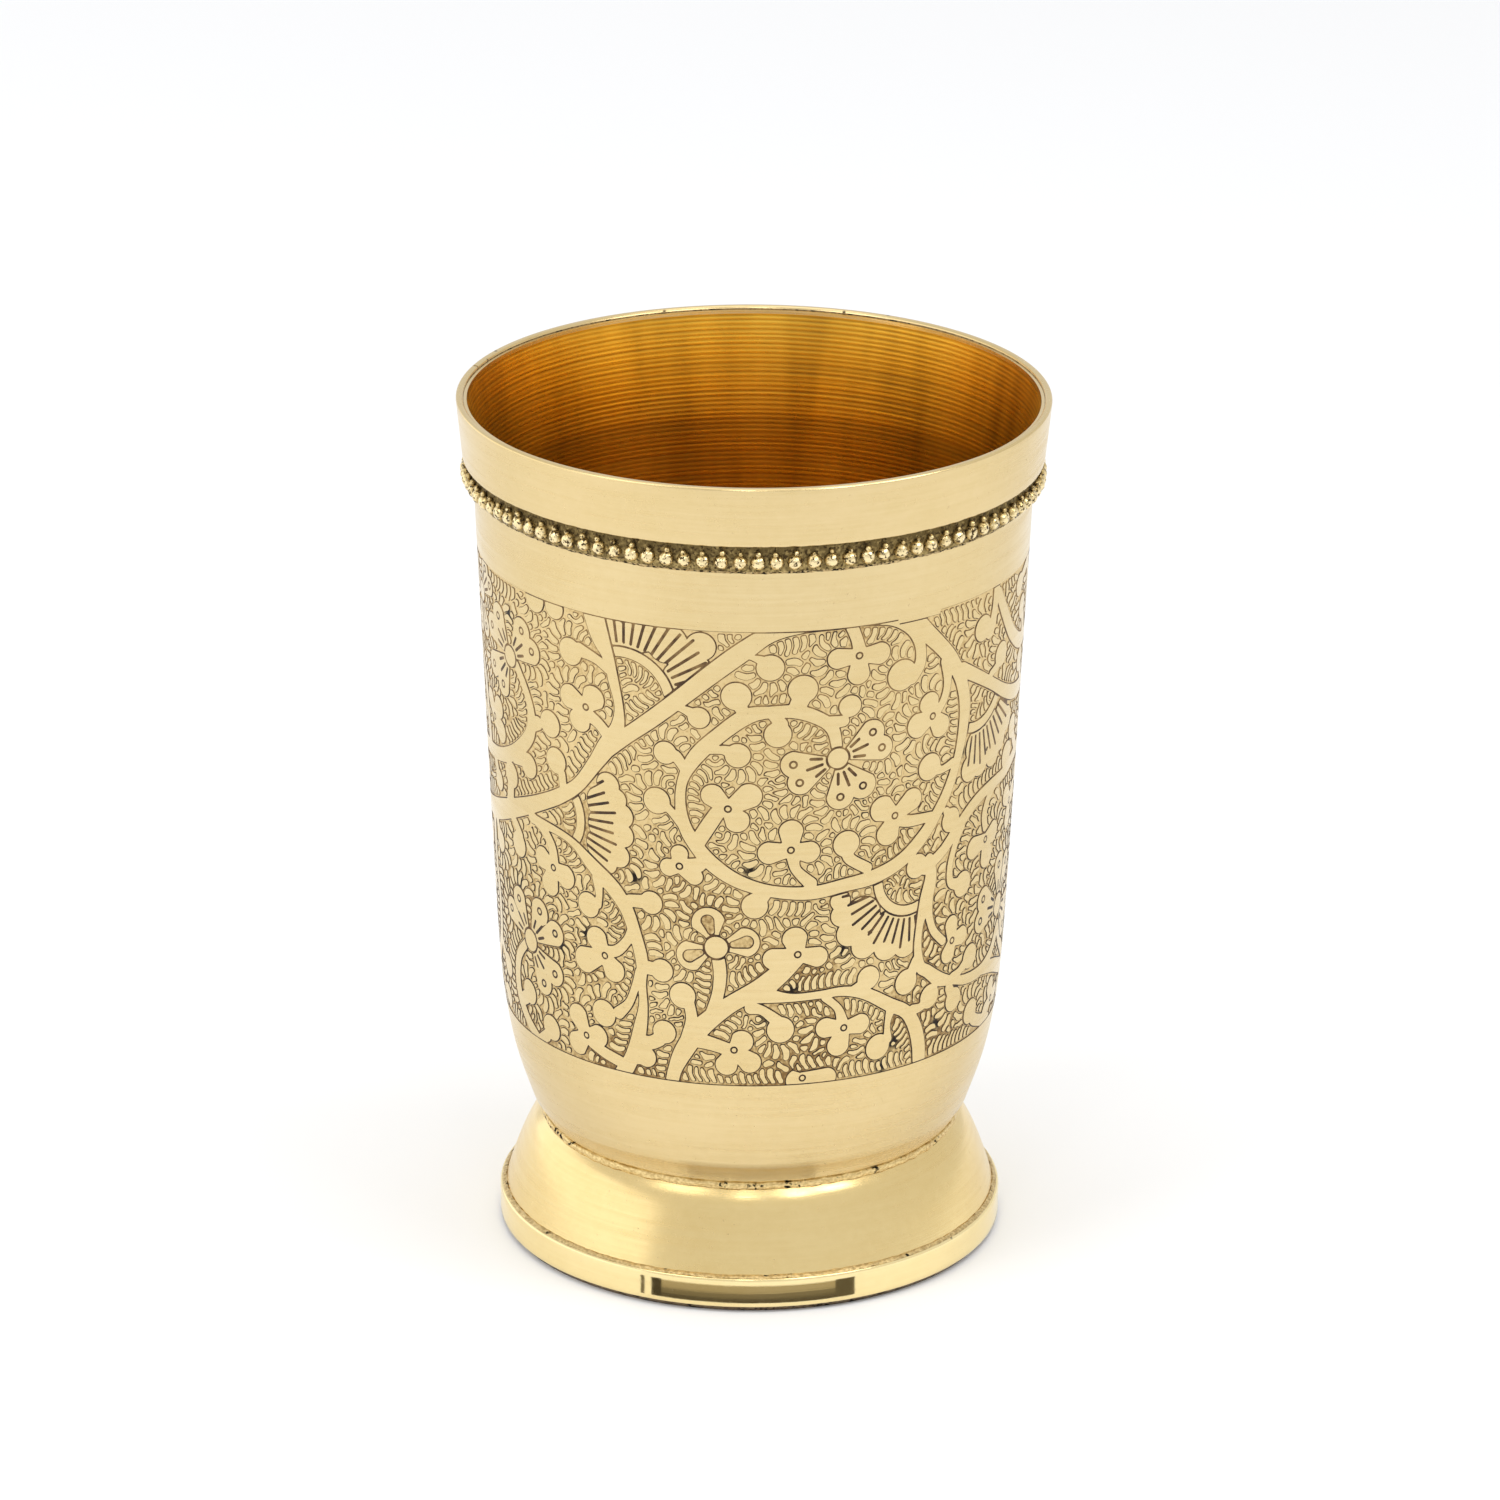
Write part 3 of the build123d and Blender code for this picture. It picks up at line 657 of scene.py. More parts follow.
def contours(field, level):
    """Closed or open chains of points where the field crosses the level, in (u, v).

    The field has one more column than the panel, equal to its first."""
    f = field - level
    up = f > 0
    number = {}
    points = []
    for i, j in np.argwhere(up[:, :-1] != up[:, 1:]):
        t = f[i, j] / (f[i, j] - f[i, j + 1])
        number[(i, j, 0)] = len(points)
        points.append(((j + t) * Layer.du - PANEL / 2, V_LOW + i * Layer.dv))
    for i, j in np.argwhere(up[:-1, :] != up[1:, :]):
        t = f[i, j] / (f[i, j] - f[i + 1, j])
        number[(i, j, 1)] = len(points)
        points.append((j * Layer.du - PANEL / 2, V_LOW + (i + t) * Layer.dv))
    code = up[:-1, :-1] * 1 + up[:-1, 1:] * 2 + up[1:, 1:] * 4 + up[1:, :-1] * 8
    links = [[] for _ in points]
    for i, j in np.argwhere((code > 0) & (code < 15)):
        c = code[i, j]
        sides = (i, j, 1), (i, j, 0), (i, j + 1, 1), (i + 1, j, 0)
        for a, b in CELL_LINES.get(c) or CELL_LINES[15 - c]:
            a, b = number[sides[a]], number[sides[b]]
            links[a].append(b)
            links[b].append(a)
    return follow(links, points)


def follow(links, points):
    """Joins linked points into chains; a closed chain repeats its first point."""
    used = [False] * len(points)
    ends = [i for i, l in enumerate(links) if len(l) == 1]
    chains = []
    for first in ends + list(range(len(points))):
        if used[first] or not links[first]:
            continue
        chain, here = [first], first
        used[first] = True
        while True:
            after = [n for n in links[here] if not used[n]]
            if not after:
                break
            here = after[0]
            used[here] = True
            chain.append(here)
        if len(chain) > 2 and first in links[here] and len(links[first]) == 2:
            chain.append(first)
        chains.append(np.array([points[i] for i in chain]))
    return chains


def wrapped(field):
    """The field with its first column again at its end."""
    return np.hstack([field, field[:, :1]])


def sample(field, u, v):
    """Nearest value of the field at a place."""
    j = int(round((u + PANEL / 2) / Layer.du)) % Layer.cols
    i = min(max(int(round((v - V_LOW) / Layer.dv)), 0), Layer.rows - 1)
    return field[i, j]


def background_pieces(field):
    """Field of the small raised pieces: combs of short bowed strokes between the shapes.

    They are the cells round the strokes' middle lines, parted where two strokes are as near."""
    dice = random.Random(7)
    slope_v, slope_u = np.gradient(field, Layer.dv, Layer.du)
    nearest = np.full(field.shape, FAR)
    second = np.full(field.shape, FAR)

    def place(u, v, lean, reach):
        """Adds a stroke that starts here and runs away from the nearest shape."""
        angle = math.atan2(-sample(slope_v, u, v), -sample(slope_u, u, v)) + lean
        run = 0.0
        while run < reach:
            run += 0.1
            a, b = u + run * math.cos(angle), v + run * math.sin(angle)
            if sample(field, a, b) > -GAP - 0.22 or sample(nearest, a, b) < 0.6:
                break
        half = max(run / 2, 0.06)
        u, v = u + half * math.cos(angle), v + half * math.sin(angle)
        du, dv = half * math.cos(angle), half * math.sin(angle)
        where, wu, wv = Layer.near(u - 2.4, u + 2.4, v - 2.4, v + 2.4)
        t = np.clip(((wu - u) * du + (wv - v) * dv) / half**2, -1, 1)
        bow = BOW * half * (1 - t * t)
        d = np.hypot(wu - u - t * du + bow * math.sin(angle),
                     wv - v - t * dv - bow * math.cos(angle))
        old = nearest[where]
        second[where] = np.minimum(second[where], np.maximum(old, d))
        nearest[where] = np.minimum(old, d)

    for k in range(ROWS):
        depth = GAP + 0.28 + k * ROW_PITCH
        for line in contours(wrapped(field), -depth):
            steps = np.hypot(*np.diff(line, axis=0).T)
            run = np.concatenate([[0], np.cumsum(steps)])
            if run[-1] < 0.6:
                continue
            count = max(1, round(run[-1] / STROKE_PITCH))
            lean = dice.choice((-1, 1)) * (0.3 if k == 0 else 0.7)
            shift = dice.random()
            for n in range(count):
                at = (n + shift + dice.uniform(-0.08, 0.08)) % count * run[-1] / count
                u, v = np.interp(at, run, line[:, 0]), np.interp(at, run, line[:, 1])
                if sample(nearest, u, v) > 0.66:
                    tilt = lean + dice.uniform(-0.12, 0.12)
                    place(u, v, tilt, STROKE * dice.uniform(0.85, 1.1))
    spots = np.argwhere((field < -GAP - 0.3) & (nearest > 0.95))
    order = list(range(len(spots)))
    dice.shuffle(order)
    for n in order[:FILLERS]:
        i, j = spots[n]
        if nearest[i, j] > 0.95:
            tilt = dice.uniform(-1.5, 1.5)
            place(j * Layer.du - PANEL / 2, V_LOW + i * Layer.dv, tilt, 0.5)
    pieces = np.minimum((second - nearest) / 2 - 0.195, -field - GAP)
    pieces = np.minimum(pieces, 0.42 - nearest)
    return blurred(pieces, 3)


def blurred(field, times):
    """Rounds corners: a small running mean, wrapped round the panel."""
    for _ in range(times):
        field = (np.roll(field, 1, 1) + np.roll(field, -1, 1) + 2 * field) / 4
        tall = np.pad(field, ((1, 1), (0, 0)), mode="edge")
        field = (tall[:-2] + tall[2:] + 2 * field) / 4
    return field


def engraving():
    """The finished relief: positive on raised metal, negative in the cuts."""
    finished, uncut = draw_motifs()
    return blurred(np.maximum(finished, background_pieces(uncut)), 1)


# ============================ sizes, as in the CAD model ============================
HEIGHT, RIM = 112.0, 37.5
CUP_TOP, CUP_TOP_OUTER, CUP_TOP_INNER = 111.6, 36.5, 36.1
BAND_BOTTOM, BAND_LOWER = 104.3, 36.7
FLARE_START, STRIP_BOTTOM = 100.4, 100.9
INNER_FLOOR, CUP_UNDERSIDE, CUP_EDGE = 19.6, 18.1, 18.0
NECK, NECK_R = 15.1, 26.5
SPIGOT_BOTTOM, SPIGOT_INNER = 13.9, 24.9
FOOT_BAND_TOP, FOOT_BAND_R, FOOT_BAND_INNER = 4.65, 32.5, 30.3
SEAM_AZIMUTH, SEAM_WIDTH = 163.3, 0.45  # degrees, the first from the right towards the back

# Turned curves, as (radius, height).
CUP_OUTSIDE = [(28.3, CUP_EDGE), (30.4, 24.4), (31.65, 30.8), (32.4, 38.0), (33.05, 50.0),
               (33.7, 64.0), (34.25, 77.0), (34.8, 89.0), (35.3, FLARE_START)]
CUP_INSIDE = [(34.2, 99.0), (33.65, 88.0), (33.15, 77.0), (32.6, 64.0), (31.95, 50.0),
              (31.2, 38.0), (30.3, 30.8), (28.5, 25.0), (25.2, 21.4), (18.0, INNER_FLOOR)]
FOOT_OUTSIDE = [(NECK_R, NECK), (27.9, 13.7), (29.0, 11.9), (29.95, 9.8), (30.9, 7.2),
                (31.75, FOOT_BAND_TOP)]
FOOT_INSIDE = [(30.45, FOOT_BAND_TOP), (28.6, 9.3), (27.5, 11.7), (NECK_R, 13.2)]
SIDES = 214
WHOLE_UV = (0.01, 0.01, 0.99, 0.99)


def curve(points, steps=6):
    """Smooth curve through turned points (radius, height)."""
    return [tuple(p) for p in smooth(points, steps)]


OUTER_R, OUTER_Z = np.array(curve(CUP_OUTSIDE, 12)).T


def side_radius(v):
    return np.interp(v, OUTER_Z, OUTER_R)


def side_lean(v):
    """Growth of the radius with height."""
    return (side_radius(v + 0.6) - side_radius(v - 0.6)) / 1.2


class Mesh:
    """Collects the surface of one piece, in mm, with its bake layout."""

    def __init__(self):
        self.verts, self.faces, self.uvs, self.mats = [], [], [], []

    def face(self, corners, uv, mat=0):
        self.faces.append(corners)
        self.uvs.extend(uv)
        self.mats.append(mat)

    def lathe(self, outline, box, mat=0, sides=SIDES, shift=None, closed=False, arc=(0, 1)):
        """Turns an outline of (radius, height) about Z, all the way or over an arc.

        Box is its place in the bake layout; shift(k, turn, r, z) moves single points."""
        base = len(self.verts)
        whole = arc == (0, 1)
        count = sides if whole else sides + 1  # a part of a turn has its own last row
        for k, (r, z) in enumerate(outline):
            for j in range(count):
                turn = arc[0] + (arc[1] - arc[0]) * j / sides
                a = 2 * math.pi * turn
                dr, dz = shift(k, turn, r, z) if shift else (0, 0)
                self.verts.append(((r + dr) * math.sin(a), -(r + dr) * math.cos(a), z + dz))
        rows = list(range(len(outline))) + ([0] if closed else [])
        pts = [outline[k] for k in rows]
        run = np.concatenate([[0], np.cumsum([math.dist(a, b) for a, b in zip(pts, pts[1:])])])
        run = box[1] + run / run[-1] * (box[3] - box[1])
        for n, (k0, k1) in enumerate(zip(rows, rows[1:])):
            for j in range(sides):
                j1 = (j + 1) % count
                x0, x1 = (box[0] + (box[2] - box[0]) * t / sides for t in (j, j + 1))
                here, after = base + k0 * count, base + k1 * count
                self.face((here + j, here + j1, after + j1, after + j),
                          ((x0, run[n]), (x1, run[n]), (x1, run[n + 1]), (x0, run[n + 1])),
                          mat[n] if isinstance(mat, list) else mat)

    def build(self, name, materials, sharp=32, weld=False):
        """Makes the piece in metres, in the place of the CAD node of the same name."""
        mesh = bpy.data.meshes.new(name)
        mesh.from_pydata([tuple(c * MM for c in v) for v in self.verts], [], self.faces)
        layer = mesh.uv_layers.new(name="OFBake")
        layer.data.foreach_set("uv", np.array(self.uvs, np.float32).ravel())
        mesh.polygons.foreach_set("material_index", np.array(self.mats, np.int32))
        for m in materials:
            mesh.materials.append(m)
        if weld:
            work = bmesh.new()
            work.from_mesh(mesh)
            loose = [v for v in work.verts if v.is_boundary]
            bmesh.ops.remove_doubles(work, verts=loose, dist=2e-6)
            work.to_mesh(mesh)
            work.free()
        mesh.polygons.foreach_set("use_smooth", np.ones(len(mesh.polygons), bool))
        mesh.set_sharp_from_angle(angle=math.radians(sharp))
        obj = bpy.data.objects.new(name, mesh)
        bpy.context.scene.collection.objects.link(obj)
        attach(obj, "root")
        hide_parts(name)
        return obj


# ================================ engraved cup ================================
TOP, EDGE, GROUND, INSIDE = range(4)
COLUMNS = SIDES // 2
LONGEST = 1.5  # longest step round the cup before it would cut into the wall
PANEL_ARC = (-0.25, 0.75)  # the lathe starts where the front panel does
HUB = 1.5  # radius of the flat middle of the bottom
# Places in the bake layout: left, low, right, top. PER_MM is the layout's scale.
PER_MM = 0.25 / 1024
WIDE = 2 * PANEL * PER_MM
OUTER_LOW = 15.0
OUTER_BOX = (0.004, 0.004, 0.004 + WIDE, 0.004 + 98 * PER_MM)
GROUND_BOX = (0.004, 0.4, 0.004 + WIDE, 0.4 + 64 * PER_MM)
INSIDE_BOX = (0.004, 0.64, 0.004 + WIDE, 0.995)
UNDER_BOX = (0.85, 0.02, 0.99, 0.6)
EDGE_PATCH = ((0.87, 0.92), (0.98, 0.92), (0.92, 0.985))


def thinned(line, tolerance):
    """Drops points of a chain that lie closer than the tolerance to the straight run."""
    last = len(line) - 1
    keep = {0, last}
    stack = [(0, last)]
    if np.hypot(*(line[0] - line[-1])) < 1e-9:
        far = int(np.argmax(np.hypot(*(line - line[0]).T)))
        keep.add(far)
        stack = [(0, far), (far, last)]
    while stack:
        a, b = stack.pop()
        if b - a < 2:
            continue
        way = line[b] - line[a]
        length = max(float(np.hypot(*way)), 1e-9)
        rest = line[a + 1 : b] - line[a]
        off = abs(rest[:, 0] * way[1] - rest[:, 1] * way[0]) / length
        k = int(np.argmax(off))
        if off[k] <= tolerance:
            if abs(way[0]) < LONGEST:
                continue
            k = (b - a) // 2 - 1
        keep.add(a + 1 + k)
        stack += [(a, a + 1 + k), (a + 1 + k, b)]
    return line[sorted(keep)]


def panel_surface(relief):
    """Triangles of one panel: points (u, v), their level (1 = cut) and the triangles."""
    points, levels, links, seen = [], [], [], {}

    def number(u, v, level):
        key = (round(u, 5), round(v, 5))
        if key not in seen:
            seen[key] = len(points)
            points.append(key)
            levels.append(level)
        return seen[key]

    full = wrapped(relief)
    for level, height in ((0, 0.0), (1, -WALL)):
        for line in contours(full, height):
            if len(line) < 8:
                continue
            span = np.ptp(line, axis=0)
            if max(span) < 0.3:
                continue
            ids = [number(u, v, level) for u, v in thinned(line, 0.017)]
            links += [(a, b) for a, b in zip(ids, ids[1:]) if a != b]
    # Both ends of the panel get the same points, so that the copies join.
    for u, v in [p for p in points if abs(abs(p[0]) - PANEL / 2) < 1e-4]:
        number(-u, v, levels[seen[u, v]])
    edge_v = sorted(v for u, v in points if abs(abs(u) - PANEL / 2) < 1e-4)
    for v in np.arange(V_LOW + 1, V_HIGH - 0.5, 1.5):
        if min(abs(v - e) for e in edge_v) > 0.2:
            value = sample(relief, -PANEL / 2, v)
            for u in (-PANEL / 2, PANEL / 2):
                number(u, v, int(value < 0))
    for k in range(COLUMNS + 1):
        for v in (V_LOW, V_HIGH):
            number(-PANEL / 2 + PANEL * k / COLUMNS, v, 0)
    for i, v in enumerate(np.arange(V_LOW + 0.8, V_HIGH, 1.4)):
        for u in np.arange(-PANEL / 2 + 1 + 0.7 * (i % 2), PANEL / 2 - 0.6, 1.4):
            value = sample(relief, u, v)
            if value > 0.3 or value < -WALL - 0.35:
                number(u, v, int(value < 0))
    result = delaunay_2d_cdt([Vector(p) for p in points], links, [], 0, 1e-7)
    verts, triangles, origin = result[0], result[2], result[3]
    made = [levels[o[0]] if o else int(sample(relief, *v) < -WALL / 2)
            for v, o in zip(verts, origin)]
    return [tuple(v) for v in verts], made, triangles


def engraved_side(cup, relief):
    """Adds the panel to the cup twice, at the front and at the back."""
    points, levels, triangles = panel_surface(relief)
    for copy in (0, 1):
        base = len(cup.verts)
        for (u, v), level in zip(points, levels):
            a = (u + copy * PANEL) / ENGRAVE_R
            r = float(side_radius(v)) - DEPTH * level
            cup.verts.append((r * math.sin(a), -r * math.cos(a), v))
        for tri in triangles:
            corners = [points[i] for i in tri]
            cut = sum(levels[i] for i in tri)
            if cut == 3:
                kind, box = GROUND, GROUND_BOX
            elif cut == 0 and sample(relief, *(sum(c) / 3 for c in zip(*corners))) > -0.02:
                kind, box = TOP, OUTER_BOX
            # Steep faces, and flat faces across a channel too narrow to cut, get the dark edge
            # colour: patina with painted shade.
            else:
                kind, box = EDGE, None
            if box is None:
                uv = EDGE_PATCH
            else:
                low = OUTER_LOW if kind == TOP else V_LOW
                uv = [(box[0] + (u + (copy + 0.5) * PANEL) * PER_MM, box[1] + (v - low) * PER_MM)
                      for u, v in corners]
            cup.face([base + i for i in tri], uv, kind)


def cup_body():
    """The cup: engraved panels, plain side above and below, lip, inside, ring underneath."""
    cup = Mesh()
    engraved_side(cup, engraving())
    above = [(float(side_radius(v)), v) for v in (V_HIGH, 95, 96.5, 98, 99.3)]
    above += [(35.3, FLARE_START), (35.9, 105.6), (CUP_TOP_OUTER, CUP_TOP)]
    below = [(float(side_radius(v)), v) for v in np.linspace(CUP_EDGE, V_LOW, 12)]
    left, low, right, top = OUTER_BOX
    low_at, top_at = (low + (v - OUTER_LOW) * PER_MM for v in (V_LOW, V_HIGH))
    cup.lathe(above, (left, top_at, right, top), TOP, arc=PANEL_ARC)
    cup.lathe(below, (left, low, right, low_at), TOP, arc=PANEL_ARC)
    lip = [(CUP_TOP_OUTER, CUP_TOP), (CUP_TOP_INNER, CUP_TOP), (36.03, 111.15)]
    inside = curve(CUP_INSIDE, 4) + [(r, INNER_FLOOR) for r in (12, 6, HUB)]
    mats = [TOP, TOP] + [INSIDE] * len(inside)
    cup.lathe(lip + inside, INSIDE_BOX, mats, arc=PANEL_ARC)
    under = [(r, CUP_UNDERSIDE) for r in (HUB, 12, SPIGOT_INNER)]
    under += [(SPIGOT_INNER, SPIGOT_BOTTOM), (NECK_R, SPIGOT_BOTTOM), (NECK_R, NECK),
              CUP_OUTSIDE[0]]
    cup.lathe(under, UNDER_BOX, TOP, arc=PANEL_ARC)
    for z, turn, kind in ((INNER_FLOOR, 1, INSIDE), (CUP_UNDERSIDE, -1, TOP)):
        base = len(cup.verts)
        turns = [2 * math.pi * (j / SIDES + PANEL_ARC[0]) for j in range(SIDES)]
        hub = [(HUB * math.sin(a), -HUB * math.cos(a), z) for a in turns]
        cup.verts += hub
        uv = [(0.92 + p[0] * 0.01, 0.75 + 0.05 * turn + p[1] * 0.01) for p in hub]
        cup.face(list(range(base, base + SIDES))[::turn], uv[::turn], kind)
    shade_engraving(cup.build("cup_body", CUP_MATERIALS, weld=True))


def shade_engraving(obj):
    """Keeps every change of surface kind crisp and gives the wide faces the true turned normal."""
    mesh = obj.data
    work = bmesh.new()
    work.from_mesh(mesh)
    bmesh.ops.recalc_face_normals(work, faces=work.faces)
    work.to_mesh(mesh)
    work.free()
    loops = len(mesh.loops)
    edge_of = np.empty(loops, np.int32)
    vert_of = np.empty(loops, np.int32)
    mesh.loops.foreach_get("edge_index", edge_of)
    mesh.loops.foreach_get("vertex_index", vert_of)
    kinds = np.empty(len(mesh.polygons), np.int32)
    sizes = np.empty(len(mesh.polygons), np.int32)
    mesh.polygons.foreach_get("material_index", kinds)
    mesh.polygons.foreach_get("loop_total", sizes)
    kind_of = np.repeat(kinds, sizes)
    low = np.full(len(mesh.edges), 9)
    high = np.full(len(mesh.edges), -1)
    np.minimum.at(low, edge_of, kind_of)
    np.maximum.at(high, edge_of, kind_of)
    sharp = np.empty(len(mesh.edges), bool)
    flags = mesh.attributes.get("sharp_edge")
    flags = flags or mesh.attributes.new("sharp_edge", "BOOLEAN", "EDGE")
    flags.data.foreach_get("value", sharp)
    flags.data.foreach_set("value", sharp | (low != high))
    place = np.empty(len(mesh.vertices) * 3)
    mesh.vertices.foreach_get("co", place)
    place = place.reshape(-1, 3)[vert_of] / MM
    r = np.hypot(place[:, 0], place[:, 1])
    lean = side_lean(place[:, 2])
    true = np.stack([place[:, 0] / r, place[:, 1] / r, -lean], 1)
    true /= np.linalg.norm(true, axis=1)[:, None]
    engraved = (place[:, 2] >= V_LOW - 0.01) & (place[:, 2] <= V_HIGH + 0.01) & (r > 31)
    wide = engraved & ((kind_of == TOP) | (kind_of == GROUND))
    true[~wide] = 0
    mesh.normals_split_custom_set(true)


# ================================ turned pieces ================================
def arc_points(centre, radius, first, last, count):
    return [(centre[0] + radius * math.cos(a), centre[1] + radius * math.sin(a))
            for a in np.radians(np.linspace(first, last, count))]


def rough(amount, scale, seed, power=1.0):
    """Uneven surface, the same each time: a shift of radius and height."""
    def shift(k, turn, r, z):
        a = 2 * math.pi * turn
        at = Vector((r * math.sin(a) * scale, -r * math.cos(a) * scale, z * scale + seed))
        n = noise.noise(at)
        up = noise.noise(at + Vector((9, 4, 2)))
        return amount * math.copysign(abs(n) ** power, n), amount * 0.6 * up
    return shift


def band_outline(sink=0.0):
    """Section of the rim band, from its lower inner corner round the outside to the lip."""
    lip, side, lower = HEIGHT - sink, RIM - sink, BAND_LOWER - sink
    taper = (side - lower) / (lip - BAND_BOTTOM)
    outside = [(lower - 0.2, BAND_BOTTOM), (lower - 0.08, 104.32), (lower + 0.005, 104.42)]
    outside += [(lower + taper * (z - BAND_BOTTOM), z)
                for z in (104.56, 105.4, 107, 108.8, 110.4, lip - 0.3)]
    corner = arc_points((side - 0.33, lip - 0.3), 0.3, 8, 90, 6)
    inside = [(36.96, lip), (36.75, lip - 0.01), (36.6, lip - 0.14), (36.56, 111.7),
              (CUP_TOP_OUTER, CUP_TOP), (35.71, BAND_BOTTOM)]
    return outside + corner + inside


SEAM_TURN = (SEAM_AZIMUTH + 90) / 360
SEAM_HALF = SEAM_WIDTH / 720


def rim_band():
    """The band, open at its seam, with an uneven lower edge and a dark joint inside the lip."""
    band = Mesh()
    outline = band_outline()
    ragged = rough(0.05, 1.3, 4)

    def shift(k, turn, r, z):
        if k < 3:
            dr, dz = ragged(k, turn, r, z)
            return min(dr, 0.0) * 1.2, max(dz, 0.0) * 2.2
        return 0, 0

    span = (SEAM_TURN + SEAM_HALF, SEAM_TURN + 1 - SEAM_HALF)
    mats = [0] * (len(outline) - 3) + [1, 0, 0]
    band.lathe(outline, WHOLE_UV, mats, 540, shift, closed=True, arc=span)
    cap_ends(band, len(outline), 541)
    band.build("rim_band", [RIM_BRASS, JOINT])


def cap_ends(mesh, rows, count):
    """Closes the two cut ends of a piece that does not go all the way round."""
    for j, turn in ((0, 1), (count - 1, -1)):
        corners = [k * count + j for k in range(rows)][::turn]
        uv = [(0.994 + 0.004 * math.cos(i), 0.5 + 0.004 * math.sin(i)) for i in range(rows)]
        mesh.face(corners, uv)


def rim_band_seam():
    seam = Mesh()
    outline = band_outline(0.06)
    seam.lathe(outline, WHOLE_UV, 0, 3, closed=True,
               arc=(SEAM_TURN - SEAM_HALF, SEAM_TURN + SEAM_HALF))
    cap_ends(seam, len(outline), 4)
    seam.build("rim_band_seam", [JOINT])


def ball(mesh, turn, middle, radii, box, lump, across=14, down=9):
    """Closed lumpy ball; middle and radii are (sideways, outward, height) at that turn."""
    base = len(mesh.verts)
    for p in range(down + 1):
        tilt = math.pi * p / down
        for q in range(across):
            way = 2 * math.pi * q / across
            swell = math.sin(tilt) * (1 + 0.05 * math.cos(3 * way + lump))
            side = middle[0] + radii[0] * swell * math.cos(way)
            out = middle[1] + radii[1] * math.cos(tilt)
            high = middle[2] + radii[2] * swell * math.sin(way)
            mesh.verts.append((out * math.sin(turn) + side * math.cos(turn),
                               -out * math.cos(turn) + side * math.sin(turn), high))
    x, y, wide, tall = box
    for p in range(down):
        for q in range(across):
            a, b = base + p * across + q, base + p * across + (q + 1) % across
            ua, ub = x + wide * q / across, x + wide * (q + 1) / across
            va, vb = y + tall * p / down, y + tall * (p + 1) / down
            mesh.face((a, a + across, b + across, b), ((ua, va), (ua, vb), (ub, vb), (ub, va)))


BEADS_ROUND = 100


def bead_strip():
    """Cast strip: a flat ring and a hundred uneven beads, each with a small knob above it."""
    strip = Mesh()
    ring = [(35.35, STRIP_BOTTOM), (35.93, STRIP_BOTTOM), (35.98, 101.3), (36.05, 102.6),
            (36.06, BAND_BOTTOM), (35.72, BAND_BOTTOM)]
    strip.lathe(ring, (0.01, 0.01, 0.99, 0.2), 0, 500, rough(0.05, 1.2, 2), closed=True)
    dice = random.Random(11)
    for i in range(BEADS_ROUND):
        turn = 2 * math.pi * (i + 0.25 + dice.uniform(-0.04, 0.04)) / BEADS_ROUND
        size = dice.uniform(0.9, 1.0)
        knob = dice.uniform(0.3, 0.44)
        x, y = 0.01 + 0.0392 * (i % 25), 0.22 + 0.19 * (i // 25)  # its cell in the bake layout
        ball(strip, turn, (0, 36.12, 102.2), (size, 0.92 * size, size), (x, y, 0.037, 0.12),
             dice.uniform(0, 6.28))
        place = (dice.uniform(-0.18, 0.18), 36.4, dice.uniform(103.15, 103.4))
        ball(strip, turn, place, (knob, knob, knob), (x, y + 0.13, 0.037, 0.035), 0, 10, 6)
    strip.build("bead_strip", [BEADS], sharp=60)


def bead_strip_solder():
    fillet = Mesh()
    outline = [(35.33, 100.45), (35.5, 100.52), (35.66, 100.64), (35.78, 100.8), (35.83, 100.93),
               (35.35, 100.93)]
    fillet.lathe(outline, WHOLE_UV, 0, 620, rough(0.17, 1.5, 6, 0.8), closed=True)
    fillet.build("bead_strip_solder", [STRIP_SOLDER], sharp=70)


def foot_bell():
    bell = Mesh()
    bell.lathe(curve(FOOT_OUTSIDE, 6) + curve(FOOT_INSIDE, 4), WHOLE_UV, 0, 240, closed=True)
    bell.build("foot_bell", [FOOT])


def neck_solder():
    fillet = Mesh()
    outline = [(NECK_R, 15.12), (26.78, 15.6), (27.0, 15.55), (27.12, 15.2), (27.0, 14.75),
               (26.78, 14.85)]
    lumps = rough(0.14, 0.8, 3, 0.9)

    def shift(k, turn, r, z):
        dr, dz = lumps(k, turn, r, z)
        return (dr, dz) if k else (0, 0)

    fillet.lathe(outline, WHOLE_UV, 0, 500, shift, closed=True)
    fillet.build("neck_solder", [NECK_SOLDER], sharp=70)


def foot_band():
    band = Mesh()
    side = FOOT_BAND_R
    outline = [(FOOT_BAND_INNER, 0), (31.62, 0), (31.7, 0.03), (32.44, 0.8), (side, 0.92),
               (side, 1.5), (32.48, 2.6), (side, 3.6), (side, 4.36), (32.44, 4.5), (32.32, 4.62),
               (32.2, FOOT_BAND_TOP), (FOOT_BAND_INNER, FOOT_BAND_TOP)]
    chamfer = [0] + [1] * 2 + [0] * 10
    band.lathe(outline, WHOLE_UV, chamfer, 300, closed=True)
    band.build("foot_band", [BAND, JOINT])


def foot_band_solder():
    fillet = Mesh()
    outline = [(31.6, 4.62), (31.72, 4.95), (31.9, 4.9), (32.12, 4.78), (32.24, 4.66)]
    fillet.lathe(outline, WHOLE_UV, 0, 500, rough(0.12, 1.1, 8), closed=True)
    fillet.build("foot_band_solder", [JOINT_SOLDER], sharp=70)


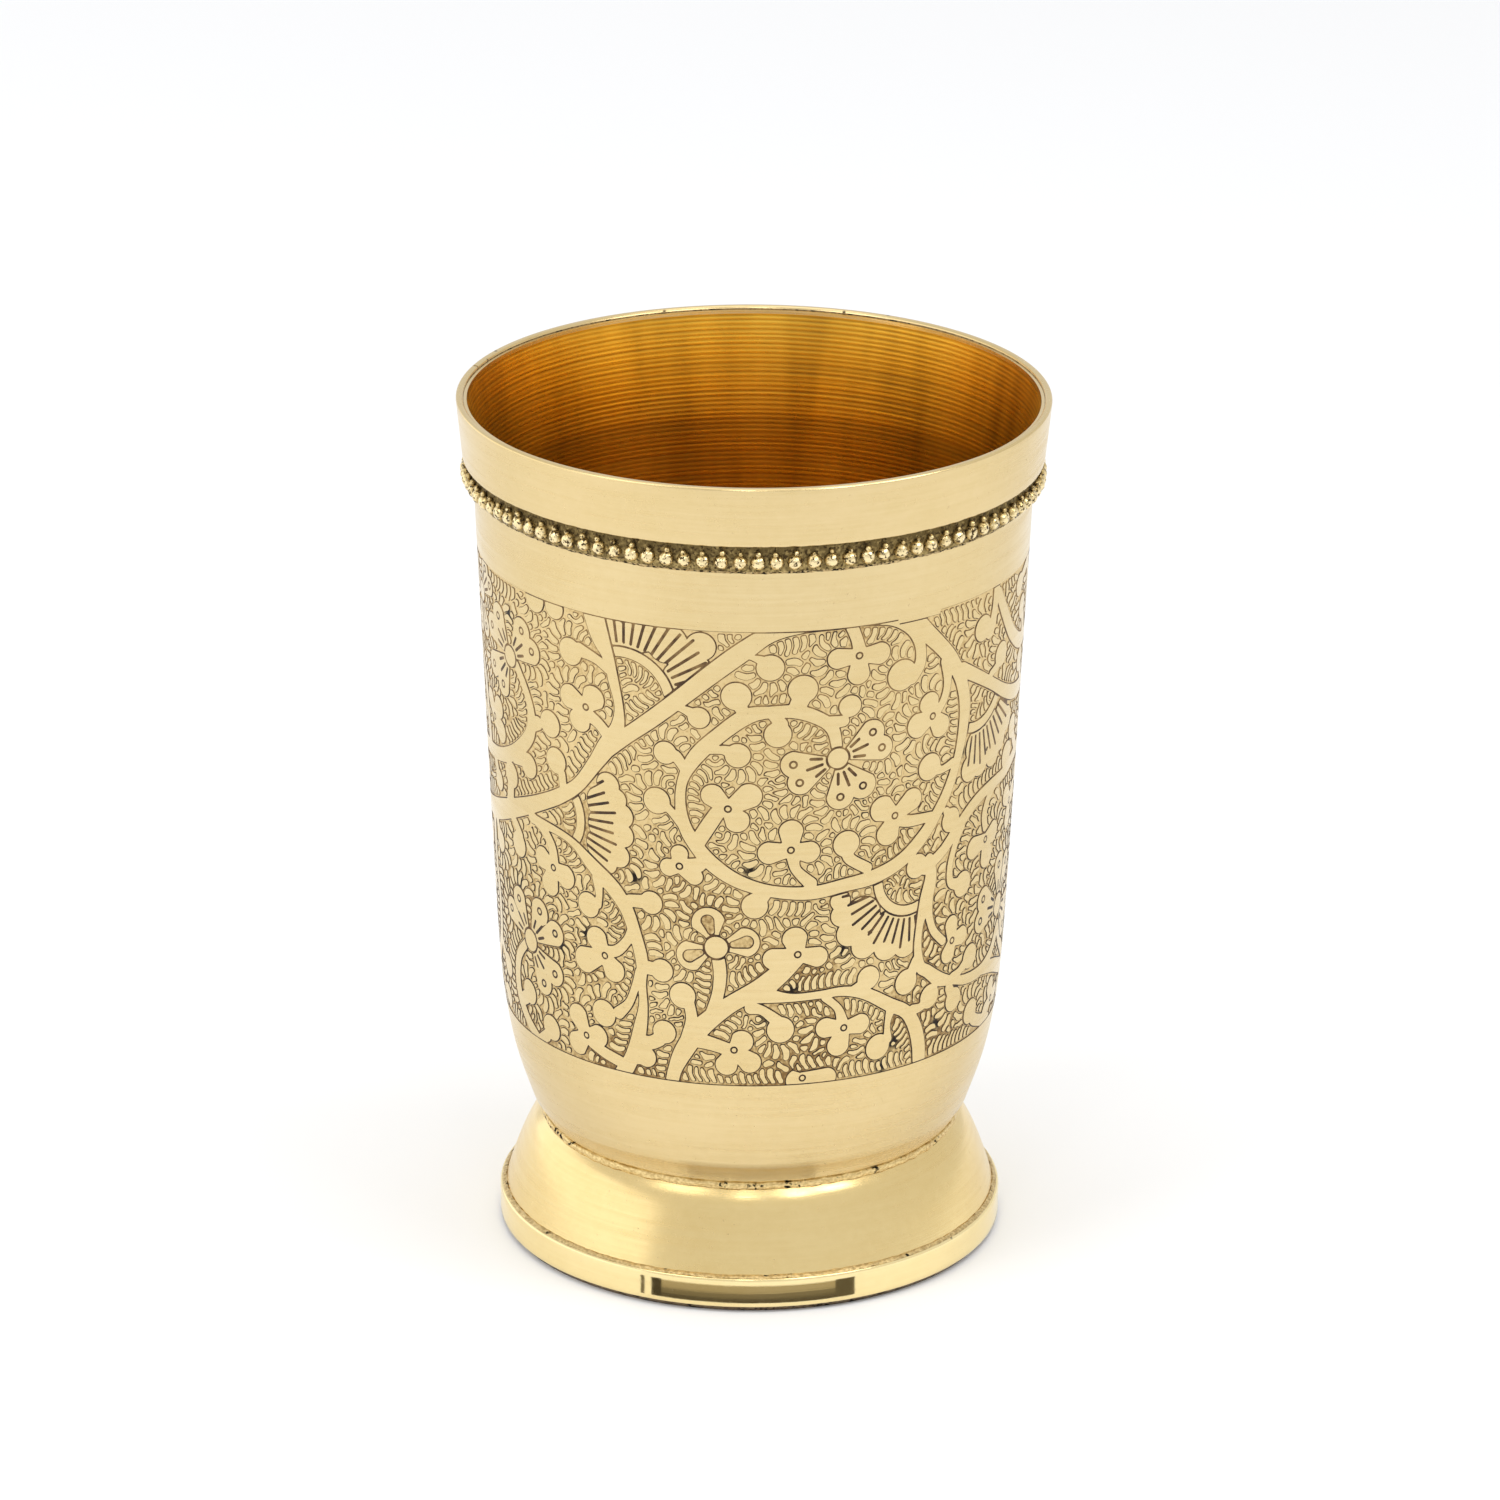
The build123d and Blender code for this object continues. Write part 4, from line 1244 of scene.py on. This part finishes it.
CUP_MATERIALS = [polished("engraved_brass", (0.76, 0.60, 0.32), (0.69, 0.525, 0.25)),
                 edge_patina_and_painted_shade(), ground_metal(), inside_metal_with_painted_streaks()]  # in the order of TOP to INSIDE
RIM_BRASS = polished("rim_brass", (0.77, 0.60, 0.315), (0.70, 0.535, 0.25), 0.9, pits=LIP_PITS)
FOOT = polished("foot_brass", (0.86, 0.67, 0.32), (0.78, 0.58, 0.25), 1.0, (0.18, 0.3))
# Lighter brass than the other pieces: painted light, standing in for the bright floor mirrored in
# the band.
BAND = polished("foot_band_brass_painted_light", (0.97, 0.81, 0.44), (0.90, 0.72, 0.35), 1.0, (0.10, 0.2),
                BAND_PIT)
BEADS = bead_wear_patina_and_painted_light()
JOINT = solder_metal("dark_joint", (0.30, 0.20, 0.09), (0.10, 0.06, 0.025), 0.9, 0.56)
STRIP_SOLDER = solder_metal("strip_solder", (0.66, 0.50, 0.25), (0.24, 0.16, 0.07), 2.0, 0.5)
NECK_SOLDER = solder_metal("neck_solder_metal", (0.85, 0.66, 0.31), (0.55, 0.38, 0.15), 1.4, 0.68,
                           NECK_VOIDS)
JOINT_SOLDER = solder_metal("band_solder", (0.75, 0.57, 0.27), (0.42, 0.29, 0.12), 0.8, 0.62)

cup_body()
rim_band()
rim_band_seam()
bead_strip()
bead_strip_solder()
foot_bell()
neck_solder()
foot_band()
foot_band_solder()


# ================================ studio ================================
FLOOR_HALF = 4.0
CARD_RADIUS = 34.6
# Dim cards: first and last angle in degrees, low and high edge, light.
DIM_CARDS = [(-26.8, -25.8, 0.1, 3.1, 0.14), (-24, -21.4, 0.1, 3.1, 0.06),
             (-21.4, 21, 0.1, 1.0, 0.10), (-21.4, 21, 1.0, 1.7, 0.2), (-21.4, 21, 1.7, 2.9, 0.42),
             (21, 26, 0.1, 3.1, 0.12)]
# Small lamps above the mouth, aimed into the cup: name, place in mm, size in metres, power.
MOUTH_LAMPS = [("mouth_right", (98, -62, 180), (0.047, 0.055), 0.032),
               ("mouth_front", (59, -98, 180), (0.028, 0.055), 0.020),
               ("mouth_left", (-84, -76, 180), (0.062, 0.055), 0.020),
               ("mouth_middle", (-5, -116, 180), (0.014, 0.055), 0.010)]


def surface(name, points, faces, **inputs):
    """A plain sheet of the studio, with these inputs on its shader."""
    material = bpy.data.materials.new(name)
    material.use_nodes = True
    for key, value in inputs.items():
        shader = material.node_tree.nodes["Principled BSDF"]
        shader.inputs[key.replace("_", " ")].default_value = value
    mesh = bpy.data.meshes.new(name)
    mesh.from_pydata(points, [], faces)
    mesh.materials.append(material)
    obj = bpy.data.objects.new(name, mesh)
    bpy.context.scene.collection.objects.link(obj)
    return obj


def floor():
    corners = [(x * FLOOR_HALF, y * FLOOR_HALF, 0) for x, y in ((-1, -1), (1, -1), (1, 1), (-1, 1))]
    surface("floor", corners, [(0, 1, 2, 3)], Base_Color=(0.92, 0.925, 0.935, 1), Roughness=0.8)


def dim_card(name, first, last, low, high, light):
    """A dim upright card close round the front of the foot, seen only mirrored in its band."""
    edges = [on_ring(CARD_RADIUS, np.linspace(first, last, 8), z) for z in (low, high)]
    points = [[c * MM for c in p] for pair in zip(*edges) for p in pair]
    faces = [(k, k + 1, k + 3, k + 2) for k in range(0, len(points) - 2, 2)]
    obj = surface(name, points, faces, Base_Color=(0, 0, 0, 1), Roughness=0.8, Specular_IOR_Level=0,
                  Emission_Color=(1, 0.88, 0.66, 1), Emission_Strength=light)
    obj.visible_camera = obj.visible_shadow = obj.visible_diffuse = False


def lamp(name, place, aim, size, power, mirrored=True):
    """A rectangular lamp; place, aim and size are in metres."""
    data = bpy.data.lights.new(name, "AREA")
    data.shape = "RECTANGLE"
    data.size, data.size_y = size
    data.energy = power
    obj = bpy.data.objects.new(name, data)
    bpy.context.scene.collection.objects.link(obj)
    obj.location = place
    obj.rotation_mode = "QUATERNION"
    obj.rotation_quaternion = (Vector(aim) - Vector(place)).to_track_quat("-Z", "Y")
    obj.visible_glossy = mirrored
    obj.visible_camera = False


def studio():
    world = bpy.data.worlds.new("studio")
    world.use_nodes = True
    background = world.node_tree.nodes["Background"]
    background.inputs["Color"].default_value = (1, 1, 1, 1)
    background.inputs["Strength"].default_value = 0.84
    bpy.context.scene.world = world
    floor()
    for i, spread in enumerate(DIM_CARDS):
        dim_card(f"dim_card_{i}", *spread)
    middle, mouth = (0, 0, 0.06), (0, 0.034, 0.1)
    lamp("left_softbox", (-0.75, -0.45, 0.5), middle, (0.5, 0.9), 2.7, False)
    lamp("right_softbox", (0.8, -0.2, 0.45), middle, (0.5, 0.9), 2.0, False)
    lamp("top_softbox", (0, 0.1, 1.1), middle, (0.9, 0.9), 1.7)
    lamp("left_wall", (-0.9, 0.25, 0.33), (0, 0.25, 0.33), (2.2, 0.62), 2.4)
    for name, place, size, power in MOUTH_LAMPS:
        lamp(name, [c * MM for c in place], mouth, size, power)


def camera():
    """Long lens, a little above the rim, as in a catalogue picture."""
    place = Vector((-1.38, -896.3, 405.2)) * MM
    yaw, pitch, roll = 0.0012511, 0.363674, 0.0057837
    level = Vector((math.sin(yaw), math.cos(yaw), 0))
    forward = math.cos(pitch) * level - math.sin(pitch) * Vector((0, 0, 1))
    right = Vector((math.cos(yaw), -math.sin(yaw), 0))
    up = right.cross(forward)
    across = math.cos(roll) * right + math.sin(roll) * up
    top = -math.sin(roll) * right + math.cos(roll) * up
    data = bpy.data.cameras.new("camera")
    data.lens, data.sensor_width = 180, 36
    data.clip_start, data.clip_end = 0.05, 20
    obj = bpy.data.objects.new("camera", data)
    bpy.context.scene.collection.objects.link(obj)
    turn = Matrix((across, top, -forward)).transposed().to_4x4()
    obj.matrix_world = Matrix.Translation(place) @ turn
    bpy.context.scene.camera = obj


bpy.context.scene.view_settings.view_transform = "Standard"
studio()
camera()
